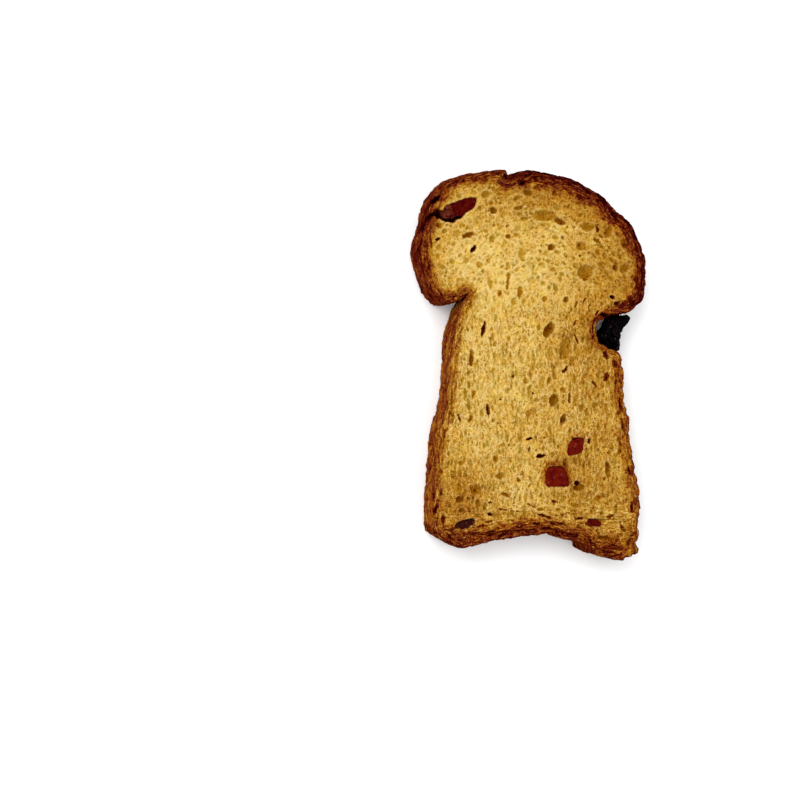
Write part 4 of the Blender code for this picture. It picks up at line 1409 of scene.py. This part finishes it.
def fruit_finish(name, deep_red, skin, flesh, coat, painted_highlights, painted_highlight_from):
    """Dark fruit: a skin, lighter where it is cut and on the ridges of its folds, under a sticky
    coat, with painted highlights.
    """
    finish = Finish(name, Coat_Weight=coat, Coat_Roughness=0.1, Specular_IOR_Level=0.0)
    at = finish.place()
    grain = finish.noise(at, 0.8, 3.0, 0.6)
    sugar = finish.noise(at, 0.28, 2.0, 0.5)
    # Redder on the ridges of the folds and near black in the creases
    thin = (1 - finish.fact("fold") * 9.0).between(0.0, 1.0) * grain.between(0.45, 0.75)
    colour = finish.mix(thin, skin, deep_red)
    colour = finish.mix(finish.fact("cut") * grain.between(0.0, 0.4), colour, flesh)
    warmth = finish.noise(at, 1.2, 2.0).between(0.3, 0.7)
    colour = finish.mix(1.0, colour, finish.mix(warmth, COLD, WARM), "MULTIPLY")
    # Painted highlights: pale spots in the colour where the noise passes a threshold
    painted_highlight_spots = finish.noise(at, 1.1, 3.0, 0.7).between(painted_highlight_from, painted_highlight_from + 0.07)
    colour = finish.mix(painted_highlight_spots * painted_highlights, colour, PAINTED_HIGHLIGHT)
    rough = 0.30 + grain * 0.25
    return finish.wear(colour, rough, grain + sugar * 0.35, 0.12)


raisin_skin = fruit_finish("raisin_skin", linear(26, 5, 5), linear(3, 1, 2),
                           linear(52, 8, 4), coat=0.03, painted_highlights=0.5, painted_highlight_from=0.64)
raisin_flesh = fruit_finish("raisin_flesh", linear(150, 60, 34), linear(98, 23, 12),
                            linear(80, 5, 3), coat=0.0, painted_highlights=0.4, painted_highlight_from=0.64)
candied = fruit_finish("candied_fruit", linear(108, 12, 1), linear(70, 1, 0),
                       linear(101, 10, 3), coat=0.015, painted_highlights=0.5, painted_highlight_from=0.63)
print("three finishes for the fruit")

# %% [markdown]
# ## Setting the fruit
#
# Each piece of fruit has folds and a cut of its own, told by how far along the
# piece a point lies, in millimetres. Most are the same from end to end. The
# raisin in the crown was cut through its flesh at the right, and at the left
# its end stands up whole, as a crumpled knob with a groove before it.

# %% Folds, cuts and pieces
KNOB = (-2.6, -1.4)      # the knob is whole up to the first and gone from the second
GROOVE = -1.8            # where the groove lies
GROOVE_WIDTH = 0.5


def dry(u):
    """A raisin's folds, the same all over."""
    return np.full(len(u), 0.12)


def plump(u):
    """Candied fruit has hardly any."""
    return np.full(len(u), 0.05)


def crumpled_left(u):
    """Smooth flesh at the right, and a crumpled knob at the left."""
    return 0.03 + 0.26 * (1 - smooth(u, *KNOB))


def level_top(u):
    """The knife went straight through, at this share of half the height."""
    return np.full(len(u), 0.62)


def knobbed_top(u):
    """Cut on the right, and left whole as a knob on the left."""
    groove = np.exp(-((u - GROOVE) / GROOVE_WIDTH) ** 2)
    return 0.55 + 0.90 * (1 - smooth(u, *KNOB)) - 0.3 * groove


# The node, the seed of its folds, how it is folded and cut, its finish and its slot
PIECES = (
    ("crown_raisin", 63, crumpled_left, knobbed_top, raisin_flesh, "raisin_skin"),
    ("heel_raisin", 68, dry, level_top, raisin_skin, "raisin_skin"),
    ("candied_cube", 61, plump, level_top, candied, "candied_fruit"),
    ("candied_chip", 66, plump, level_top, candied, "candied_fruit"),
    ("candied_sliver", 64, plump, level_top, raisin_flesh, "candied_fruit"),
)
shown("neck_fruit", wedged_raisin("neck_raisin", 61), raisin_skin, "neck_raisin")
for name, seed, folds, top, finish, slot in PIECES:
    mesh = set_fruit(name, seed, folds, top)
    shown(name.replace("_", "_piece_"), mesh, finish, name)
print(len(PIECES) + 1, "pieces of fruit")

# %% [markdown]
# ## Floor and light
#
# The slice lies on a plain pale floor. A broad lamp from the upper left shows
# the pores, with a soft shade on the upper left wall of each, and an even
# white sky fills the rest. A small hard lamp would draw every pore in black.

# %% Floor and light
FLOOR_SIDE = 3.0         # the floor and the lamp are measured in metres
FLOOR_DROP = 0.0001      # so that the floor and the back of the slice don't touch
LAMP_PLACE = (-0.42, 0.40, 0.62)
LAMP_SIDE = 0.60
LAMP_POWER = 3.0         # in watts, and like the sky it is then made stronger by BRIGHTNESS
SKY_STRENGTH = 0.84

floor_mesh = bpy.data.meshes.new("floor")
half = FLOOR_SIDE / 2
floor_corners = [(-half, -half, -FLOOR_DROP), (half, -half, -FLOOR_DROP),
                 (half, half, -FLOOR_DROP), (-half, half, -FLOOR_DROP)]
floor_mesh.from_pydata(floor_corners, [], [(0, 1, 2, 3)])
floor = bpy.data.objects.new("floor", floor_mesh)
bpy.context.scene.collection.objects.link(floor)
pale = Finish("pale_floor", Roughness=0.9, Specular_IOR_Level=0.1)
pale.fill(pale.shader.inputs["Base Color"], (0.97, 0.97, 0.97))
floor_mesh.materials.append(pale.material)


def lamp(name, place, size, power):
    """A square lamp that faces the middle of the slice."""
    light = bpy.data.lights.new(name, "AREA")
    light.size = size
    light.energy = power
    made = bpy.data.objects.new(name, light)
    made.location = place
    made.rotation_euler = (-Vector(place)).to_track_quat("-Z", "Y").to_euler()
    bpy.context.scene.collection.objects.link(made)


lamp("key", LAMP_PLACE, LAMP_SIDE, LAMP_POWER * BRIGHTNESS)
world = bpy.data.worlds.new("sky")
world.use_nodes = True
sky = world.node_tree.nodes["Background"]
sky.inputs["Color"].default_value = (1.0, 1.0, 1.0, 1.0)
sky.inputs["Strength"].default_value = SKY_STRENGTH * BRIGHTNESS
bpy.context.scene.world = world
bpy.context.scene.view_settings.view_transform = "Standard"
print("one lamp of", round(LAMP_POWER * BRIGHTNESS, 1), "watts, and the sky")

# %% [markdown]
# ## The camera
#
# The camera looks almost straight down, from 14 degrees round to the left, so
# the left wall of crust shows as a narrow strip. Aiming it by eye would take
# many tries. Its place is worked out from the picture instead: how many
# millimetres go to a pixel at its distance, and how far one point of the slice
# lies to the right of the middle of the picture, above it and in front of it.

# %% Camera
TILT = math.radians(14.0)
DISTANCE = 450.0         # millimetres
PIXEL = 0.281            # millimetres to a pixel in the plane that it is aimed at
PICTURE = 798            # pixels across
SENSOR = 36.0            # the width of the camera's sensor, in millimetres
HALF_WIDTH = 33.0        # of the slice, whose right half is lifted by the tilt
AIM = np.array([36.9, 9.3, HALF_WIDTH * math.sin(TILT)])     # right, above and in front
AIM_POINT = np.array([2.699, 0.622, 0.0])                    # the point of the slice there

turned = np.array([[math.cos(TILT), 0, math.sin(TILT)], [0, 1, 0],
                   [-math.sin(TILT), 0, math.cos(TILT)]])
camera_data = bpy.data.cameras.new("camera")
camera_data.sensor_width = SENSOR
camera_data.lens = SENSOR * DISTANCE / (PICTURE * PIXEL)
camera_data.clip_start = 0.01
camera = bpy.data.objects.new("camera", camera_data)
place = turned.T @ (np.array([0, 0, DISTANCE]) - AIM) + AIM_POINT
camera.location = Vector(place * MM)
camera.rotation_euler = (0.0, -TILT, 0.0)
bpy.context.scene.collection.objects.link(camera)
bpy.context.scene.camera = camera
print("lens", round(camera_data.lens, 1), "mm, camera at", np.round(place), "mm")
